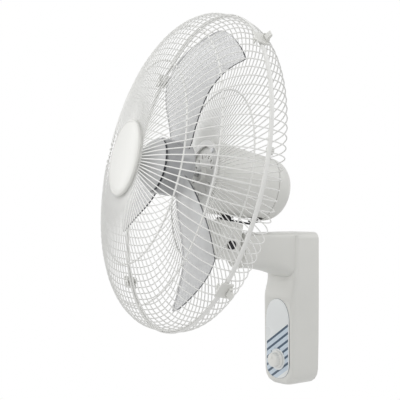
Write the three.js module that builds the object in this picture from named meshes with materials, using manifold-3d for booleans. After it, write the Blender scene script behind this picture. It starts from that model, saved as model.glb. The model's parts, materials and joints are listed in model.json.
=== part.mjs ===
// Wall mounted fan: a bracket with a control box, a tilting neck, and an oscillating
// motor head that carries a wire cage and a three-bladed propeller.
//
// Millimetres, +Z up. The wall is the plane y = 0 and the fan faces -Y. The origin is the
// middle of the wall plate's back face. The head stands in its rest pose: turned a little
// towards -X on its neck and tilted up.
import * as THREE from 'three';
import { mergeVertices } from 'three/addons/utils/BufferGeometryUtils.js';
import Module from 'manifold-3d';

const wasm = await Module();
wasm.setup();

// ---------------------------------------------------------------- driving dimensions

const GAP = 0.3;                 // between pieces that touch or seat on each other
const RUNNING_GAP = 1.0;         // between pieces that move past each other
const SLACK = 0.03;              // how far a face may move when facets are merged

// bracket
const BOX_WIDTH = 74;            // control box, across
const BOX_DEPTH = 52;            // control box, wall to front face at the arm
const BOX_BULGE = 7;             // how far the lower front stands out further
const BOX_HEIGHT = 252;
const BOX_WALL = 2.6;
const BOX_CORNER = 9;            // front corner radius
const ARM_REACH = 177;           // wall to the tilt axis
const ARM_HEIGHT = 56;           // at the neck end
const ARM_WIDTH = 46;            // at the neck end
const TILT_BELOW_TOP = 18;       // tilt axis below the arm's top face

// wall plate and back cover
const PLATE_WIDTH = 52;
const PLATE_HEIGHT = 150;
const PLATE_THICK = 1.6;
const PLATE_HOLE = 5.2;          // wall screw hole diameter
const KEYHOLE_HEAD = 10.5;       // keyhole's round end
const COVER_THICK = 2.0;
const COVER_SETBACK = 2.4;       // wall to the cover's back face

// speed control
const LABEL_WIDTH = 56;
const LABEL_HEIGHT = 131;
const LABEL_THICK = 1.2;
const LABEL_ABOVE_BOTTOM = 11;   // label's lower edge above the box's lower edge
const KNOB_DIAMETER = 28;
const KNOB_HEIGHT = 15;
const KNOB_ABOVE_LABEL = 31;     // knob centre above the label's lower edge
const SPINDLE_DIAMETER = 6;
const SWITCH_DIAMETER = 34;
const SWITCH_LENGTH = 20;
const INLET_BORE = 8;            // mains lead inlet
const INLET_WALL = 2.2;

// neck
const NECK_WIDTH = 42;
const NECK_TOP = 36;             // neck's top face above the tilt axis
const NECK_RADIUS = 24;          // round end about the tilt axis
const TONGUE_WIDTH = 17;
const TONGUE_RADIUS = 13.5;
const TILT_BOLT = 8;
const SWIVEL_PIN = 12;

// head, measured along its own axis from the rim plane of the cage
const REST_SWIVEL = -13;         // degrees, about the neck's axis
const REST_TILT = -11;           // degrees, about the tilt axis; negative faces upward
const AXIS_HEIGHT = 101;         // head axis above the tilt axis
const RIM_AHEAD = 75;            // rim plane in front of the swivel axis

// cage
const CAGE_RADIUS = 250;         // to the outside of the rim band
const WIRE = 2.2;                // cage wire diameter
const EDGE_WIRE = 4.6;           // rim wire diameter
const RING_WIRE = 2.8;           // support ring diameter
const RING_GAP = 0.5;            // between a support ring and the wires over it
const OUTER_RING_IN = 35;        // front outer support ring, inside the cage's radius
const INNER_RING_R = 158;        // front inner support ring
const REAR_RING_R = 140;         // rear support ring
const CAGE_WIRES = 72;
const BAND_THICK = 1.6;
const BAND_WIDTH = 13;
const FRONT_DEPTH = 106;         // rim plane to the plate behind the badge
const REAR_DEPTH = 44;
const BADGE_RADIUS = 59;
const BADGE_THICK = 7;
const CLIP_COUNT = 4;

// motor
const MOTOR_FRONT = 22.6;        // behind the rim plane
const MOTOR_RADIUS = 58;
const MOTOR_REAR_RADIUS = 51;
const BARREL_LENGTH = 124;
const DOME_DEPTH = 34;
const SHELL_WALL = 1.8;
const SHAFT = 8;
const STATOR_RADIUS = 44;
const STATOR_LENGTH = 30;
const ROTOR_RADIUS = 24;

// propeller
const BLADES = 3;
const BLADE_TIP = 222;
const HUB_RADIUS = 45;
const HUB_FRONT = 56;            // in front of the rim plane
const HUB_BACK = 10;             // in front of the rim plane
const HUB_WALL = 2.4;
const SPINNER_TIP = 84;
const BLADE_PHASE = -19;         // degrees, rest angle of the first blade

// gearbox
const WORM_RADIUS = 5;
const WORM_LEAD = 3.14;
const WORM_LENGTH = 16;
const WHEEL_TEETH = 30;
const CRANK_TEETH = 32;
const PINION_TEETH = 10;
const TOOTH_MODULE = 1.0;
const CRANK_ARM = 11;            // crank pin from the crank gear's axis

// ---------------------------------------------------------------- places

const BOX_TOP = BOX_HEIGHT / 2;
const BOX_BOTTOM = -BOX_HEIGHT / 2;
const TILT_Z = BOX_TOP - TILT_BELOW_TOP;
const RIM_Y = -RIM_AHEAD;        // in the head's own frame

// ---------------------------------------------------------------- materials

function finish(color, roughness, metalness) {
  return new THREE.MeshStandardMaterial({ color, roughness, metalness });
}

const OFF_WHITE = [0xcfcfc9, 0.45, 0.0];
const WIRE_WHITE = [0xdcdcd7, 0.4, 0.1];
const SMOKE = [0x9fa2a6, 0.25, 0.0];
const STEEL = [0x9a9da0, 0.35, 0.9];
const DARK = [0x2b2c2e, 0.6, 0.0];
const COPPER = [0xb06a3a, 0.4, 0.8];
const CREAM = [0xe2e1da, 0.4, 0.0];
const BRASS = [0xb99b55, 0.35, 0.9];

// ---------------------------------------------------------------- solid helpers

function signedVolume(geometry) {
  const p = geometry.attributes.position;
  const index = geometry.index;
  const a = new THREE.Vector3();
  const b = new THREE.Vector3();
  const c = new THREE.Vector3();
  let volume = 0;
  for (let i = 0; i < index.count; i += 3) {
    a.fromBufferAttribute(p, index.getX(i));
    b.fromBufferAttribute(p, index.getX(i + 1));
    c.fromBufferAttribute(p, index.getX(i + 2));
    volume += a.dot(b.cross(c)) / 6;
  }
  return volume;
}

// A three.js geometry as a closed solid with its faces pointing out.
function solid(geometry) {
  const bare = geometry.clone();
  bare.deleteAttribute('normal');
  bare.deleteAttribute('uv');
  const merged = mergeVertices(bare, 1e-3);
  const triVerts = [];
  const index = merged.index;
  const flip = signedVolume(merged) < 0;
  for (let i = 0; i < index.count; i += 3) {
    const a = index.getX(i);
    const b = index.getX(i + 1);
    const c = index.getX(i + 2);
    if (a === b || b === c || c === a) continue;
    triVerts.push(a, flip ? c : b, flip ? b : c);
  }
  return new wasm.Manifold(new wasm.Mesh({
    numProp: 3,
    vertProperties: new Float32Array(merged.attributes.position.array),
    triVerts: new Uint32Array(triVerts),
  }));
}

function geometryOf(body) {
  const mesh = body.asOriginal().simplify(SLACK).getMesh();
  const geometry = new THREE.BufferGeometry();
  geometry.setAttribute('position', new THREE.BufferAttribute(mesh.vertProperties, 3));
  geometry.setIndex(new THREE.BufferAttribute(mesh.triVerts, 1));
  geometry.computeVertexNormals();
  return geometry;
}

function join(...bodies) {
  return bodies.reduce((whole, body) => whole.add(body));
}

function cut(body, ...tools) {
  return tools.reduce((rest, tool) => rest.subtract(tool), body);
}

function piece(parent, name, body, look) {
  const mesh = new THREE.Mesh(geometryOf(body), finish(...look));
  mesh.name = name;
  parent.add(mesh);
  return mesh;
}

function moved(geometry, x, y, z) {
  return geometry.translate(x, y, z);
}

function box(x0, x1, y0, y1, z0, z1) {
  const geometry = new THREE.BoxGeometry(x1 - x0, y1 - y0, z1 - z0);
  return solid(moved(geometry, (x0 + x1) / 2, (y0 + y1) / 2, (z0 + z1) / 2));
}

// A body of revolution about the line through (x, z) along Y; profile is [radius, y].
function turnedY(profile, segments = 32, x = 0, z = 0) {
  const points = profile.map(([r, y]) => new THREE.Vector2(r, y));
  const geometry = new THREE.LatheGeometry(points, segments);
  return solid(moved(geometry, x, 0, z));
}

// The same about a vertical line through (x, y); profile is [radius, z].
function turnedZ(profile, segments = 24, x = 0, y = 0) {
  const points = profile.map(([r, z]) => new THREE.Vector2(r, z));
  const geometry = new THREE.LatheGeometry(points, segments).rotateX(Math.PI / 2);
  return solid(moved(geometry, x, y, 0));
}

// The same about a line through (y, z) along X; profile is [radius, x].
function turnedX(profile, segments = 24, y = 0, z = 0) {
  const points = profile.map(([r, x]) => new THREE.Vector2(r, x));
  const geometry = new THREE.LatheGeometry(points, segments).rotateZ(-Math.PI / 2);
  return solid(moved(geometry, 0, y, z));
}

function rodY(radius, y0, y1, x = 0, z = 0, segments = 20) {
  return turnedY([[0, y0], [radius, y0], [radius, y1], [0, y1]], segments, x, z);
}

function rodZ(radius, z0, z1, x = 0, y = 0, segments = 20) {
  return turnedZ([[0, z0], [radius, z0], [radius, z1], [0, z1]], segments, x, y);
}

function rodX(radius, x0, x1, y = 0, z = 0, segments = 20) {
  return turnedX([[0, x0], [radius, x0], [radius, x1], [0, x1]], segments, y, z);
}

function tubeY(inner, outer, y0, y1, segments = 32, x = 0, z = 0) {
  return turnedY([[inner, y0], [outer, y0], [outer, y1], [inner, y1], [inner, y0]], segments, x, z);
}

function tubeZ(inner, outer, z0, z1, x = 0, y = 0, segments = 24) {
  return turnedZ([[inner, z0], [outer, z0], [outer, z1], [inner, z1], [inner, z0]], segments, x, y);
}

function tubeX(inner, outer, x0, x1, y = 0, z = 0, segments = 24) {
  return turnedX([[inner, x0], [outer, x0], [outer, x1], [inner, x1], [inner, x0]], segments, y, z);
}

// An outline in the YZ plane, extruded along X from x0 to x1.
function slabX(shape, x0, x1, curveSegments = 6) {
  const geometry = new THREE.ExtrudeGeometry(shape, { depth: x1 - x0, bevelEnabled: false, curveSegments });
  geometry.rotateY(Math.PI / 2).rotateX(Math.PI / 2);
  return solid(moved(geometry, x0, 0, 0));
}

// An outline in the XZ plane, extruded along Y from y0 to y1.
function slabY(shape, y0, y1, curveSegments = 6) {
  const geometry = new THREE.ExtrudeGeometry(shape, { depth: y1 - y0, bevelEnabled: false, curveSegments });
  geometry.rotateX(Math.PI / 2);
  return solid(moved(geometry, 0, y1, 0));
}

// An outline in the XY plane, extruded along Z from z0 to z1.
function slabZ(shape, z0, z1, curveSegments = 6) {
  const geometry = new THREE.ExtrudeGeometry(shape, { depth: z1 - z0, bevelEnabled: false, curveSegments });
  return solid(moved(geometry, 0, 0, z0));
}

// Skins a row of closed outlines that all have the same number of points.
function loft(rings) {
  const count = rings[0].length;
  const vertices = [];
  rings.forEach((ring) => ring.forEach((p) => vertices.push(p.x, p.y, p.z)));
  const faces = [];
  for (let k = 0; k + 1 < rings.length; k += 1) {
    for (let i = 0; i < count; i += 1) {
      const j = (i + 1) % count;
      const a = k * count + i;
      const b = k * count + j;
      faces.push(a, b, a + count, b, b + count, a + count);
    }
  }
  [0, rings.length - 1].forEach((k) => {
    const flat = rings[k];
    const centre = vertices.length / 3;
    const middle = flat.reduce((sum, p) => sum.add(p), new THREE.Vector3()).divideScalar(count);
    vertices.push(middle.x, middle.y, middle.z);
    for (let i = 0; i < count; i += 1) {
      const j = (i + 1) % count;
      const a = k * count + i;
      const b = k * count + j;
      if (k === 0) faces.push(centre, b, a);
      else faces.push(centre, a, b);
    }
  });
  const geometry = new THREE.BufferGeometry();
  geometry.setAttribute('position', new THREE.Float32BufferAttribute(vertices, 3));
  geometry.setIndex(faces);
  return solid(geometry);
}

function roundedRectangle(halfWidth, low, high, radius) {
  const shape = new THREE.Shape();
  shape.moveTo(-halfWidth + radius, low);
  shape.lineTo(halfWidth - radius, low);
  shape.absarc(halfWidth - radius, low + radius, radius, -Math.PI / 2, 0, false);
  shape.lineTo(halfWidth, high - radius);
  shape.absarc(halfWidth - radius, high - radius, radius, 0, Math.PI / 2, false);
  shape.lineTo(-halfWidth + radius, high);
  shape.absarc(-halfWidth + radius, high - radius, radius, Math.PI / 2, Math.PI, false);
  shape.lineTo(-halfWidth, low + radius);
  shape.absarc(-halfWidth + radius, low + radius, radius, Math.PI, Math.PI * 1.5, false);
  return shape;
}

// How far a rounded edge of the given radius stands back at a distance from its end.
function roundOff(distance, radius) {
  if (distance >= radius) return 0;
  return radius - Math.sqrt(radius * radius - (radius - distance) ** 2);
}

function smoothStep(value, low, high) {
  return THREE.MathUtils.smoothstep(value, low, high);
}

// ---------------------------------------------------------------- bracket housing

const END_ROUND_TOP = 11;
const END_ROUND_BOTTOM = 24;
const FRONT_ROUND_BOTTOM = 11;   // lower edge of the front face
const BULGE_START = 76;          // below the top, where the lower front begins to swell
const BULGE_FULL = 108;
const SIDE_TAPER = 3;            // how much each side draws in towards the bottom
const ARM_END = ARM_REACH - 29;  // wall to the arm's front wall
const ARM_ROOT_DEPTH = 84;       // arm's underside below the top, at the box
const ARM_WALL = 3;

function boxHalfWidth(z, inset) {
  const below = Math.max(0, (BOX_TOP - BULGE_FULL - z) / (BOX_HEIGHT - BULGE_FULL));
  const ends = roundOff(BOX_TOP - z, END_ROUND_TOP) + roundOff(z - BOX_BOTTOM, END_ROUND_BOTTOM);
  return BOX_WIDTH / 2 - SIDE_TAPER * below * below - ends - inset;
}

function boxFront(z, inset) {
  const swell = BOX_BULGE * smoothStep(BOX_TOP - z, BULGE_START, BULGE_FULL);
  const ends = roundOff(BOX_TOP - z, END_ROUND_TOP / 2) + roundOff(z - BOX_BOTTOM, FRONT_ROUND_BOTTOM);
  return -(BOX_DEPTH + swell - ends - inset);
}

function boxSection(z, inset, back) {
  const half = boxHalfWidth(z, inset);
  const front = boxFront(z, inset);
  const radius = Math.min(BOX_CORNER - inset, half - 1);
  const corner = half - radius;
  const ring = [new THREE.Vector3(half, back, z)];
  for (let k = 0; k <= 4; k += 1) {
    const a = (k / 4) * Math.PI / 2;
    ring.push(new THREE.Vector3(corner + radius * Math.cos(a), front + radius - radius * Math.sin(a), z));
  }
  for (let k = 4; k >= 0; k -= 1) {
    const a = (k / 4) * Math.PI / 2;
    ring.push(new THREE.Vector3(-corner - radius * Math.cos(a), front + radius - radius * Math.sin(a), z));
  }
  ring.push(new THREE.Vector3(-half, back, z));
  return ring.reverse();
}

function boxLevels(inset) {
  const levels = [];
  for (let k = 0; k <= 4; k += 1) {
    levels.push(BOX_BOTTOM + END_ROUND_BOTTOM * (1 - Math.cos((k / 4) * Math.PI / 2)));
  }
  levels.push(BOX_BOTTOM + BOX_HEIGHT * 0.28, BOX_TOP - BULGE_FULL);
  for (let k = 3; k >= 0; k -= 1) {
    levels.push(BOX_TOP - BULGE_START - (k / 4) * (BULGE_FULL - BULGE_START));
  }
  for (let k = 3; k >= 0; k -= 1) {
    levels.push(BOX_TOP - END_ROUND_TOP * (1 - Math.cos((k / 3) * Math.PI / 2)));
  }
  return levels.filter((z) => z >= BOX_BOTTOM + inset && z <= BOX_TOP - inset);
}

function boxBody(inset, back) {
  let levels = boxLevels(inset);
  if (inset > 0) levels = [BOX_BOTTOM + inset, ...levels, BOX_TOP - inset];
  return loft(levels.map((z) => boxSection(z, inset, back)));
}

function armSection(y, inset) {
  const t = (-y - BOX_DEPTH * 0.5) / (ARM_END - BOX_DEPTH * 0.5);
  const half = THREE.MathUtils.lerp(BOX_WIDTH / 2 - 1, ARM_WIDTH / 2, Math.min(1, t * 1.25)) - inset;
  const deep = THREE.MathUtils.lerp(ARM_HEIGHT, ARM_ROOT_DEPTH, (1 - t) ** 2);
  const top = BOX_TOP - inset;
  const bottom = BOX_TOP - deep + inset;
  const upper = Math.max(1, 9 - inset);
  const lower = Math.max(1, 17 - inset);
  const ring = [];
  const corners = [
    [half - lower, bottom + lower, lower, -Math.PI / 2],
    [half - upper, top - upper, upper, 0],
    [-half + upper, top - upper, upper, Math.PI / 2],
    [-half + lower, bottom + lower, lower, Math.PI],
  ];
  corners.forEach(([cx, cz, radius, from]) => {
    for (let k = 0; k <= 3; k += 1) {
      const a = from + (k / 3) * Math.PI / 2;
      ring.push(new THREE.Vector3(cx + radius * Math.cos(a), y, cz + radius * Math.sin(a)));
    }
  });
  return ring.reverse();
}

function armBody(inset) {
  const rings = [];
  const start = BOX_DEPTH * 0.5;
  const steps = 6;
  for (let k = 0; k <= steps; k += 1) {
    const reach = start + (k / steps) * (ARM_END - inset - start);
    rings.push(armSection(-reach, inset));
  }
  return loft(rings);
}

function tongueBody() {
  const shape = new THREE.Shape();
  const root = -(ARM_END - 1);
  shape.moveTo(root, TILT_Z + TONGUE_RADIUS);
  shape.lineTo(-ARM_REACH, TILT_Z + TONGUE_RADIUS);
  shape.absarc(-ARM_REACH, TILT_Z, TONGUE_RADIUS, Math.PI / 2, Math.PI * 1.5, false);
  shape.lineTo(root, TILT_Z - TONGUE_RADIUS);
  return slabX(shape, -TONGUE_WIDTH / 2, TONGUE_WIDTH / 2, 8);
}

const KNOB_Z = BOX_BOTTOM + LABEL_ABOVE_BOTTOM + KNOB_ABOVE_LABEL;
const LABEL_Z = BOX_BOTTOM + LABEL_ABOVE_BOTTOM + LABEL_HEIGHT / 2;
const LABEL_RECESS = 1.0;
const LABEL_FACE = boxFront(LABEL_Z, 0) + LABEL_RECESS - GAP;      // back of the label plate
const INLET_Y = -BOX_DEPTH * 0.42;
const INLET_Z = BOX_BOTTOM;

// The label's outline: pointed arches at both ends, between straight sides.
function labelOutline(half, height) {
  const shape = new THREE.Shape();
  const low = -height / 2;
  const high = height / 2;
  const shoulder = high - half * 1.35;
  const hip = low + half * 0.9;
  shape.moveTo(-half, shoulder);
  shape.bezierCurveTo(-half, high - half * 0.5, -half * 0.55, high, 0, high);
  shape.bezierCurveTo(half * 0.55, high, half, high - half * 0.5, half, shoulder);
  shape.lineTo(half, hip);
  shape.bezierCurveTo(half, low + half * 0.35, half * 0.6, low, 0, low);
  shape.bezierCurveTo(-half * 0.6, low, -half, low + half * 0.35, -half, hip);
  return shape;
}

const COVER_GAP = 0.4;
const SCREW_HEAD = 3.2;
const SCREW_SHANK = 1.5;
const SCREW_BOSS = 16;
const COVER_SCREWS = [[-1, 1], [1, -1]];
const COVER_SCREW_X = BOX_WIDTH / 2 - BOX_WALL - 5;
const COVER_SCREW_Z = BOX_HEIGHT / 2 - 38;

// Bosses on the side walls that the back cover screws into.
function screwBosses() {
  const back = -(COVER_SETBACK + COVER_THICK + GAP);
  const radius = SCREW_SHANK + 2.4;
  return COVER_SCREWS.map(([i, j]) => {
    const x = i * COVER_SCREW_X;
    const z = j * COVER_SCREW_Z;
    const wall = i * boxHalfWidth(z, BOX_WALL / 2);
    const web = box(Math.min(x, wall), Math.max(x, wall), back - SCREW_BOSS, back, z - radius, z + radius);
    const boss = join(rodY(radius, back - SCREW_BOSS, back, x, z, 12), web);
    return cut(boss, rodY(SCREW_SHANK + GAP, back - SCREW_BOSS + 2, back + 1, x, z, 10));
  });
}

function buildHousing(parent) {
  const outer = join(boxBody(0, 0), armBody(0), tongueBody());
  const boxCavity = boxBody(BOX_WALL, 1);
  const armCavity = armBody(ARM_WALL);
  const boltHole = rodX(TILT_BOLT / 2 + GAP, -TONGUE_WIDTH, TONGUE_WIDTH, -ARM_REACH, TILT_Z);
  const spindleHole = rodY(SPINDLE_DIAMETER / 2 + 1.2, -BOX_DEPTH * 1.5, -BOX_DEPTH * 0.6, 0, KNOB_Z);
  const inletHole = rodZ(INLET_BORE / 2 + INLET_WALL + GAP, INLET_Z - 2, INLET_Z + BOX_WALL + 3, 0, INLET_Y);
  const recess = slabY(labelOutline(LABEL_WIDTH / 2 + GAP, LABEL_HEIGHT + 2 * GAP), boxFront(LABEL_Z, 0) - 1,
    boxFront(LABEL_Z, 0) + LABEL_RECESS, 7).translate(0, 0, LABEL_Z);
  const shell = cut(outer, boxCavity, armCavity, boltHole, spindleHole, inletHole, recess);
  piece(parent, 'bracket_housing', join(shell, ...screwBosses()), OFF_WHITE);
}

// ---------------------------------------------------------------- wall plate and cover

const PLATE_HOLE_Z = PLATE_HEIGHT / 2 - 14;

function buildWallPlate(parent) {
  const half = PLATE_HEIGHT / 2;
  const outline = roundedRectangle(PLATE_WIDTH / 2, -half, half, 6);
  const plate = slabY(outline, -PLATE_THICK, 0, 3);
  const tools = [];
  [-1, 1].forEach((side) => {
    const x = side * (PLATE_WIDTH / 2 - 11);
    tools.push(rodY(PLATE_HOLE / 2, -3, 1, x, -PLATE_HOLE_Z, 12));
    tools.push(rodY(KEYHOLE_HEAD / 2, -3, 1, x, PLATE_HOLE_Z - 8, 14));
    tools.push(box(x - PLATE_HOLE / 2, x + PLATE_HOLE / 2, -3, 1, PLATE_HOLE_Z - 8, PLATE_HOLE_Z + 2));
  });
  piece(parent, 'wall_plate', cut(plate, ...tools), STEEL);
}

function buildBackCover(parent) {
  const levels = boxLevels(BOX_WALL + COVER_GAP);
  const outline = new THREE.Shape();
  levels.forEach((z, k) => {
    const half = boxHalfWidth(z, BOX_WALL + COVER_GAP);
    if (k === 0) outline.moveTo(half, z);
    else outline.lineTo(half, z);
  });
  levels.reverse().forEach((z) => outline.lineTo(-boxHalfWidth(z, BOX_WALL + COVER_GAP), z));
  const back = -COVER_SETBACK;
  const holes = COVER_SCREWS.map(([i, j]) => (
    rodY(SCREW_SHANK + GAP, -9, 0, i * COVER_SCREW_X, j * COVER_SCREW_Z, 10)
  ));
  const cover = cut(slabY(outline, back - COVER_THICK, back, 3), ...holes);
  piece(parent, 'back_cover', cover, OFF_WHITE);
  COVER_SCREWS.forEach(([i, j], k) => {
    const x = i * COVER_SCREW_X;
    const z = j * COVER_SCREW_Z;
    const shank = -(COVER_SETBACK + COVER_THICK + 8);
    const profile = [[0, shank], [SCREW_SHANK, shank], [SCREW_SHANK, back + GAP],
      [SCREW_HEAD, back + GAP], [SCREW_HEAD * 0.7, back + 1.8], [0, back + 1.8]];
    piece(parent, `cover_screw_${k + 1}`, turnedY(profile, 10, x, z), STEEL);
  });
}

// ---------------------------------------------------------------- speed control

function buildSpeedControl(parent) {
  const outline = labelOutline(LABEL_WIDTH / 2, LABEL_HEIGHT);
  const blank = slabY(outline, LABEL_FACE - LABEL_THICK, LABEL_FACE, 7).translate(0, 0, LABEL_Z);
  const plate = cut(blank, rodY(SPINDLE_DIAMETER / 2 + 1.2, LABEL_FACE - 9, LABEL_FACE + 9, 0, KNOB_Z));
  piece(parent, 'control_label_plate', plate, CREAM);

  const front = LABEL_FACE - LABEL_THICK - GAP;
  const radius = KNOB_DIAMETER / 2;
  const bore = SPINDLE_DIAMETER / 2 + GAP;
  const skirt = turnedY([
    [bore, front], [radius, front], [radius, front - 3], [radius - 1.6, front - 5],
    [radius - 2.4, front - KNOB_HEIGHT + 2], [radius - 4.4, front - KNOB_HEIGHT],
    [0, front - KNOB_HEIGHT], [0, front - KNOB_HEIGHT + 4], [bore, front - KNOB_HEIGHT + 4], [bore, front],
  ], 28, 0, KNOB_Z);
  const grip = front - KNOB_HEIGHT;
  const pointer = box(-1.6, 1.6, grip - 1, grip + 4, KNOB_Z + 1, KNOB_Z + radius - 3);
  piece(parent, 'speed_knob', join(skirt, pointer), CREAM);

  const spindleFront = front - KNOB_HEIGHT + 4 + GAP;
  const switchFront = boxFront(KNOB_Z, BOX_WALL) + GAP;
  const spindle = rodY(SPINDLE_DIAMETER / 2, spindleFront, switchFront + 6, 0, KNOB_Z, 12);
  piece(parent, 'switch_spindle', spindle, STEEL);

  const body = cut(
    rodY(SWITCH_DIAMETER / 2, switchFront, switchFront + SWITCH_LENGTH, 0, KNOB_Z, 24),
    rodY(SPINDLE_DIAMETER / 2 + GAP, switchFront - 1, switchFront + 6 + GAP, 0, KNOB_Z, 12),
  );
  piece(parent, 'rotary_switch', body, DARK);
}

function buildElectrics(parent) {
  const low = boxFront(-10, BOX_WALL) + GAP;
  piece(parent, 'run_capacitor', box(-20, 16, low, low + 19, -38, -12), DARK);
  piece(parent, 'terminal_block', box(-20, 20, low, low + 14, -6, 8), CREAM);
}

function buildInlet(parent) {
  const outer = INLET_BORE / 2 + INLET_WALL;
  const low = INLET_Z - 1.2;
  const high = INLET_Z + BOX_WALL + 4;
  const seat = INLET_Z - GAP;
  const profile = [[INLET_BORE / 2, low], [outer + 1.6, low], [outer + 1.6, seat], [outer, seat],
    [outer, high], [INLET_BORE / 2, high], [INLET_BORE / 2, low]];
  piece(parent, 'lead_inlet_bush', turnedZ(profile, 20, 0, INLET_Y), DARK);
}

// ---------------------------------------------------------------- neck (frame: tilt axis)

const CHEEK_GAP = TONGUE_WIDTH / 2 + 1.8;   // room for the friction washers
const WASHER = 1.2;
const NUT_RADIUS = 7;
const NECK_BACK = 19;
const NECK_FRONT = 24;
const SLOT_TOP = TONGUE_RADIUS + 8.5;       // clears the tongue at full tilt
const PIN_HEAD = 2;              // swivel pin's head, thickness
const LUG_X = -17.5;             // link pin on the neck
const LINK_PIN = 2.5;
const LINK_THICK = 2.2;
const LINK_LIFT = 5.2;           // neck's top face to the link's underside, clear of the arm
const LINK_EYE = LINK_PIN + 1.8;
const BOSS_BASE = NECK_TOP + RUNNING_GAP;
const BOSS_TOP = AXIS_HEIGHT - STATOR_RADIUS - 4;

function buildTiltJoint(parent) {
  const half = NECK_WIDTH / 2;
  const head = 5;
  const bolt = turnedX([[0, half + GAP + head], [6.5, half + GAP + head], [7, half + GAP],
    [TILT_BOLT / 2, half + GAP], [TILT_BOLT / 2, -half - GAP - 8], [0, -half - GAP - 8]], 16);
  piece(parent, 'tilt_bolt', bolt, STEEL);
  const nutBore = rodX(TILT_BOLT / 2 + GAP, -half - 8, -half, 0, 0, 16);
  const nut = cut(rodX(NUT_RADIUS, -half - GAP - 6, -half - GAP, 0, 0, 6), nutBore);
  piece(parent, 'tilt_nut', nut, STEEL);
  [-1, 1].forEach((side) => {
    const a = side * (TONGUE_WIDTH / 2 + GAP);
    const b = side * (TONGUE_WIDTH / 2 + GAP + WASHER);
    const washer = tubeX(TILT_BOLT / 2 + GAP, TONGUE_RADIUS - 2, Math.min(a, b), Math.max(a, b), 0, 0, 20);
    piece(parent, side < 0 ? 'friction_washer_left' : 'friction_washer_right', washer, DARK);
  });
}

function buildNeck(parent) {
  const shape = new THREE.Shape();
  shape.moveTo(NECK_BACK, 0);
  shape.lineTo(NECK_BACK, NECK_TOP);
  shape.lineTo(-NECK_FRONT, NECK_TOP);
  shape.quadraticCurveTo(-NECK_FRONT - 1, 6, -NECK_RADIUS * 0.8, -NECK_RADIUS * 0.6);
  shape.quadraticCurveTo(-NECK_RADIUS * 0.45, -NECK_RADIUS, 0, -NECK_RADIUS);
  shape.quadraticCurveTo(NECK_BACK, -NECK_RADIUS, NECK_BACK, 0);
  const half = NECK_WIDTH / 2;
  const block = slabX(shape, -half, half, 5);
  const slot = box(-CHEEK_GAP, CHEEK_GAP, -TONGUE_RADIUS - 3, half * 2, -half * 2, SLOT_TOP);
  const boltHole = rodX(TILT_BOLT / 2 + GAP, -half * 2, half * 2, 0, 0, 16);
  const pinHole = rodZ(SWIVEL_PIN / 2 + GAP, SLOT_TOP - 1, NECK_TOP + 1, 0, 0, 16);
  const shoulder = rodZ(LINK_PIN + 1, NECK_TOP - 1, LINK_Z - GAP, LUG_X, 0, 12);
  const linkPin = rodZ(LINK_PIN, NECK_TOP - 1, LINK_Z + LINK_THICK + 0.6, LUG_X, 0, 12);
  piece(parent, 'neck_block', join(cut(block, slot, boltHole, pinHole), shoulder, linkPin), OFF_WHITE);
  const under = SLOT_TOP - GAP - PIN_HEAD;
  const pin = turnedZ([[0, under], [SWIVEL_PIN / 2 + 1.5, under], [SWIVEL_PIN / 2 + 1.5, SLOT_TOP - GAP],
    [SWIVEL_PIN / 2, SLOT_TOP - GAP], [SWIVEL_PIN / 2, BOSS_TOP + 2], [0, BOSS_TOP + 2]], 16);
  piece(parent, 'swivel_pin', pin, STEEL);
  const clip = tubeZ(SWIVEL_PIN / 2 + GAP, SWIVEL_PIN / 2 + 3.2, BOSS_TOP + GAP, BOSS_TOP + 1.4, 0, 0, 16);
  piece(parent, 'swivel_clip', clip, STEEL);
}

// ---------------------------------------------------------------- gear train (head frame)

const GEAR_Y = 49;               // behind the swivel axis: worm wheel and crank gear
const WHEEL_RADIUS = (WHEEL_TEETH * TOOTH_MODULE) / 2;
const PINION_RADIUS = (PINION_TEETH * TOOTH_MODULE) / 2;
const WHEEL_X = WORM_RADIUS + 1 + WHEEL_RADIUS;     // worm pitch radius plus wheel's
const WHEEL_FACE = 5;
const PINION_TOP = AXIS_HEIGHT - WORM_RADIUS - 3.6;
const PINION_FACE = 7;
const CLUTCH_SPINDLE = 2.4;
const CRANK_SHAFT = 4;
const LINK_Z = NECK_TOP + LINK_LIFT;
const CRANK_STUB = 0.9;          // crank pin's length below its disc
const CRANK_DISC = 3;
const CRANK_DISC_Z = LINK_Z + LINK_THICK + RUNNING_GAP + CRANK_STUB;
const CRANK_EYE = CRANK_SHAFT + 3.5;
const CRANK_END = LINK_PIN + 2.5;
const CRANK_ANGLE = 173;         // degrees, where the crank pin stands at rest
const CRANK_PIN_X = CRANK_ARM * Math.cos(THREE.MathUtils.degToRad(CRANK_ANGLE));
const CRANK_PIN_Y = GEAR_Y + CRANK_ARM * Math.sin(THREE.MathUtils.degToRad(CRANK_ANGLE));
const KNOB_BASE = AXIS_HEIGHT + MOTOR_RADIUS - 5;
const OSC_KNOB_RADIUS = 7;
const OSC_KNOB_HEIGHT = 12;

// A spur gear outline about the origin; the first tooth points at the angle `first`.
function gearOutline(teeth, addendum, dedendum, first) {
  const shape = new THREE.Shape();
  const pitch = (2 * Math.PI) / teeth;
  const radius = (teeth * TOOTH_MODULE) / 2;
  const tip = radius + addendum * TOOTH_MODULE;
  const root = radius - dedendum * TOOTH_MODULE;
  for (let k = 0; k < teeth; k += 1) {
    const middle = first + k * pitch;
    [[root, -0.26], [tip, -0.11], [tip, 0.11], [root, 0.26]].forEach(([r, share]) => {
      const a = middle + share * pitch;
      if (k === 0 && share < -0.2) shape.moveTo(r * Math.cos(a), r * Math.sin(a));
      else shape.lineTo(r * Math.cos(a), r * Math.sin(a));
    });
  }
  shape.closePath();
  return shape;
}

function gear(teeth, first, x, y, z0, z1) {
  return slabZ(gearOutline(teeth, 0.6, 1.15, first), z0, z1).translate(x, y, 0);
}

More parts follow.
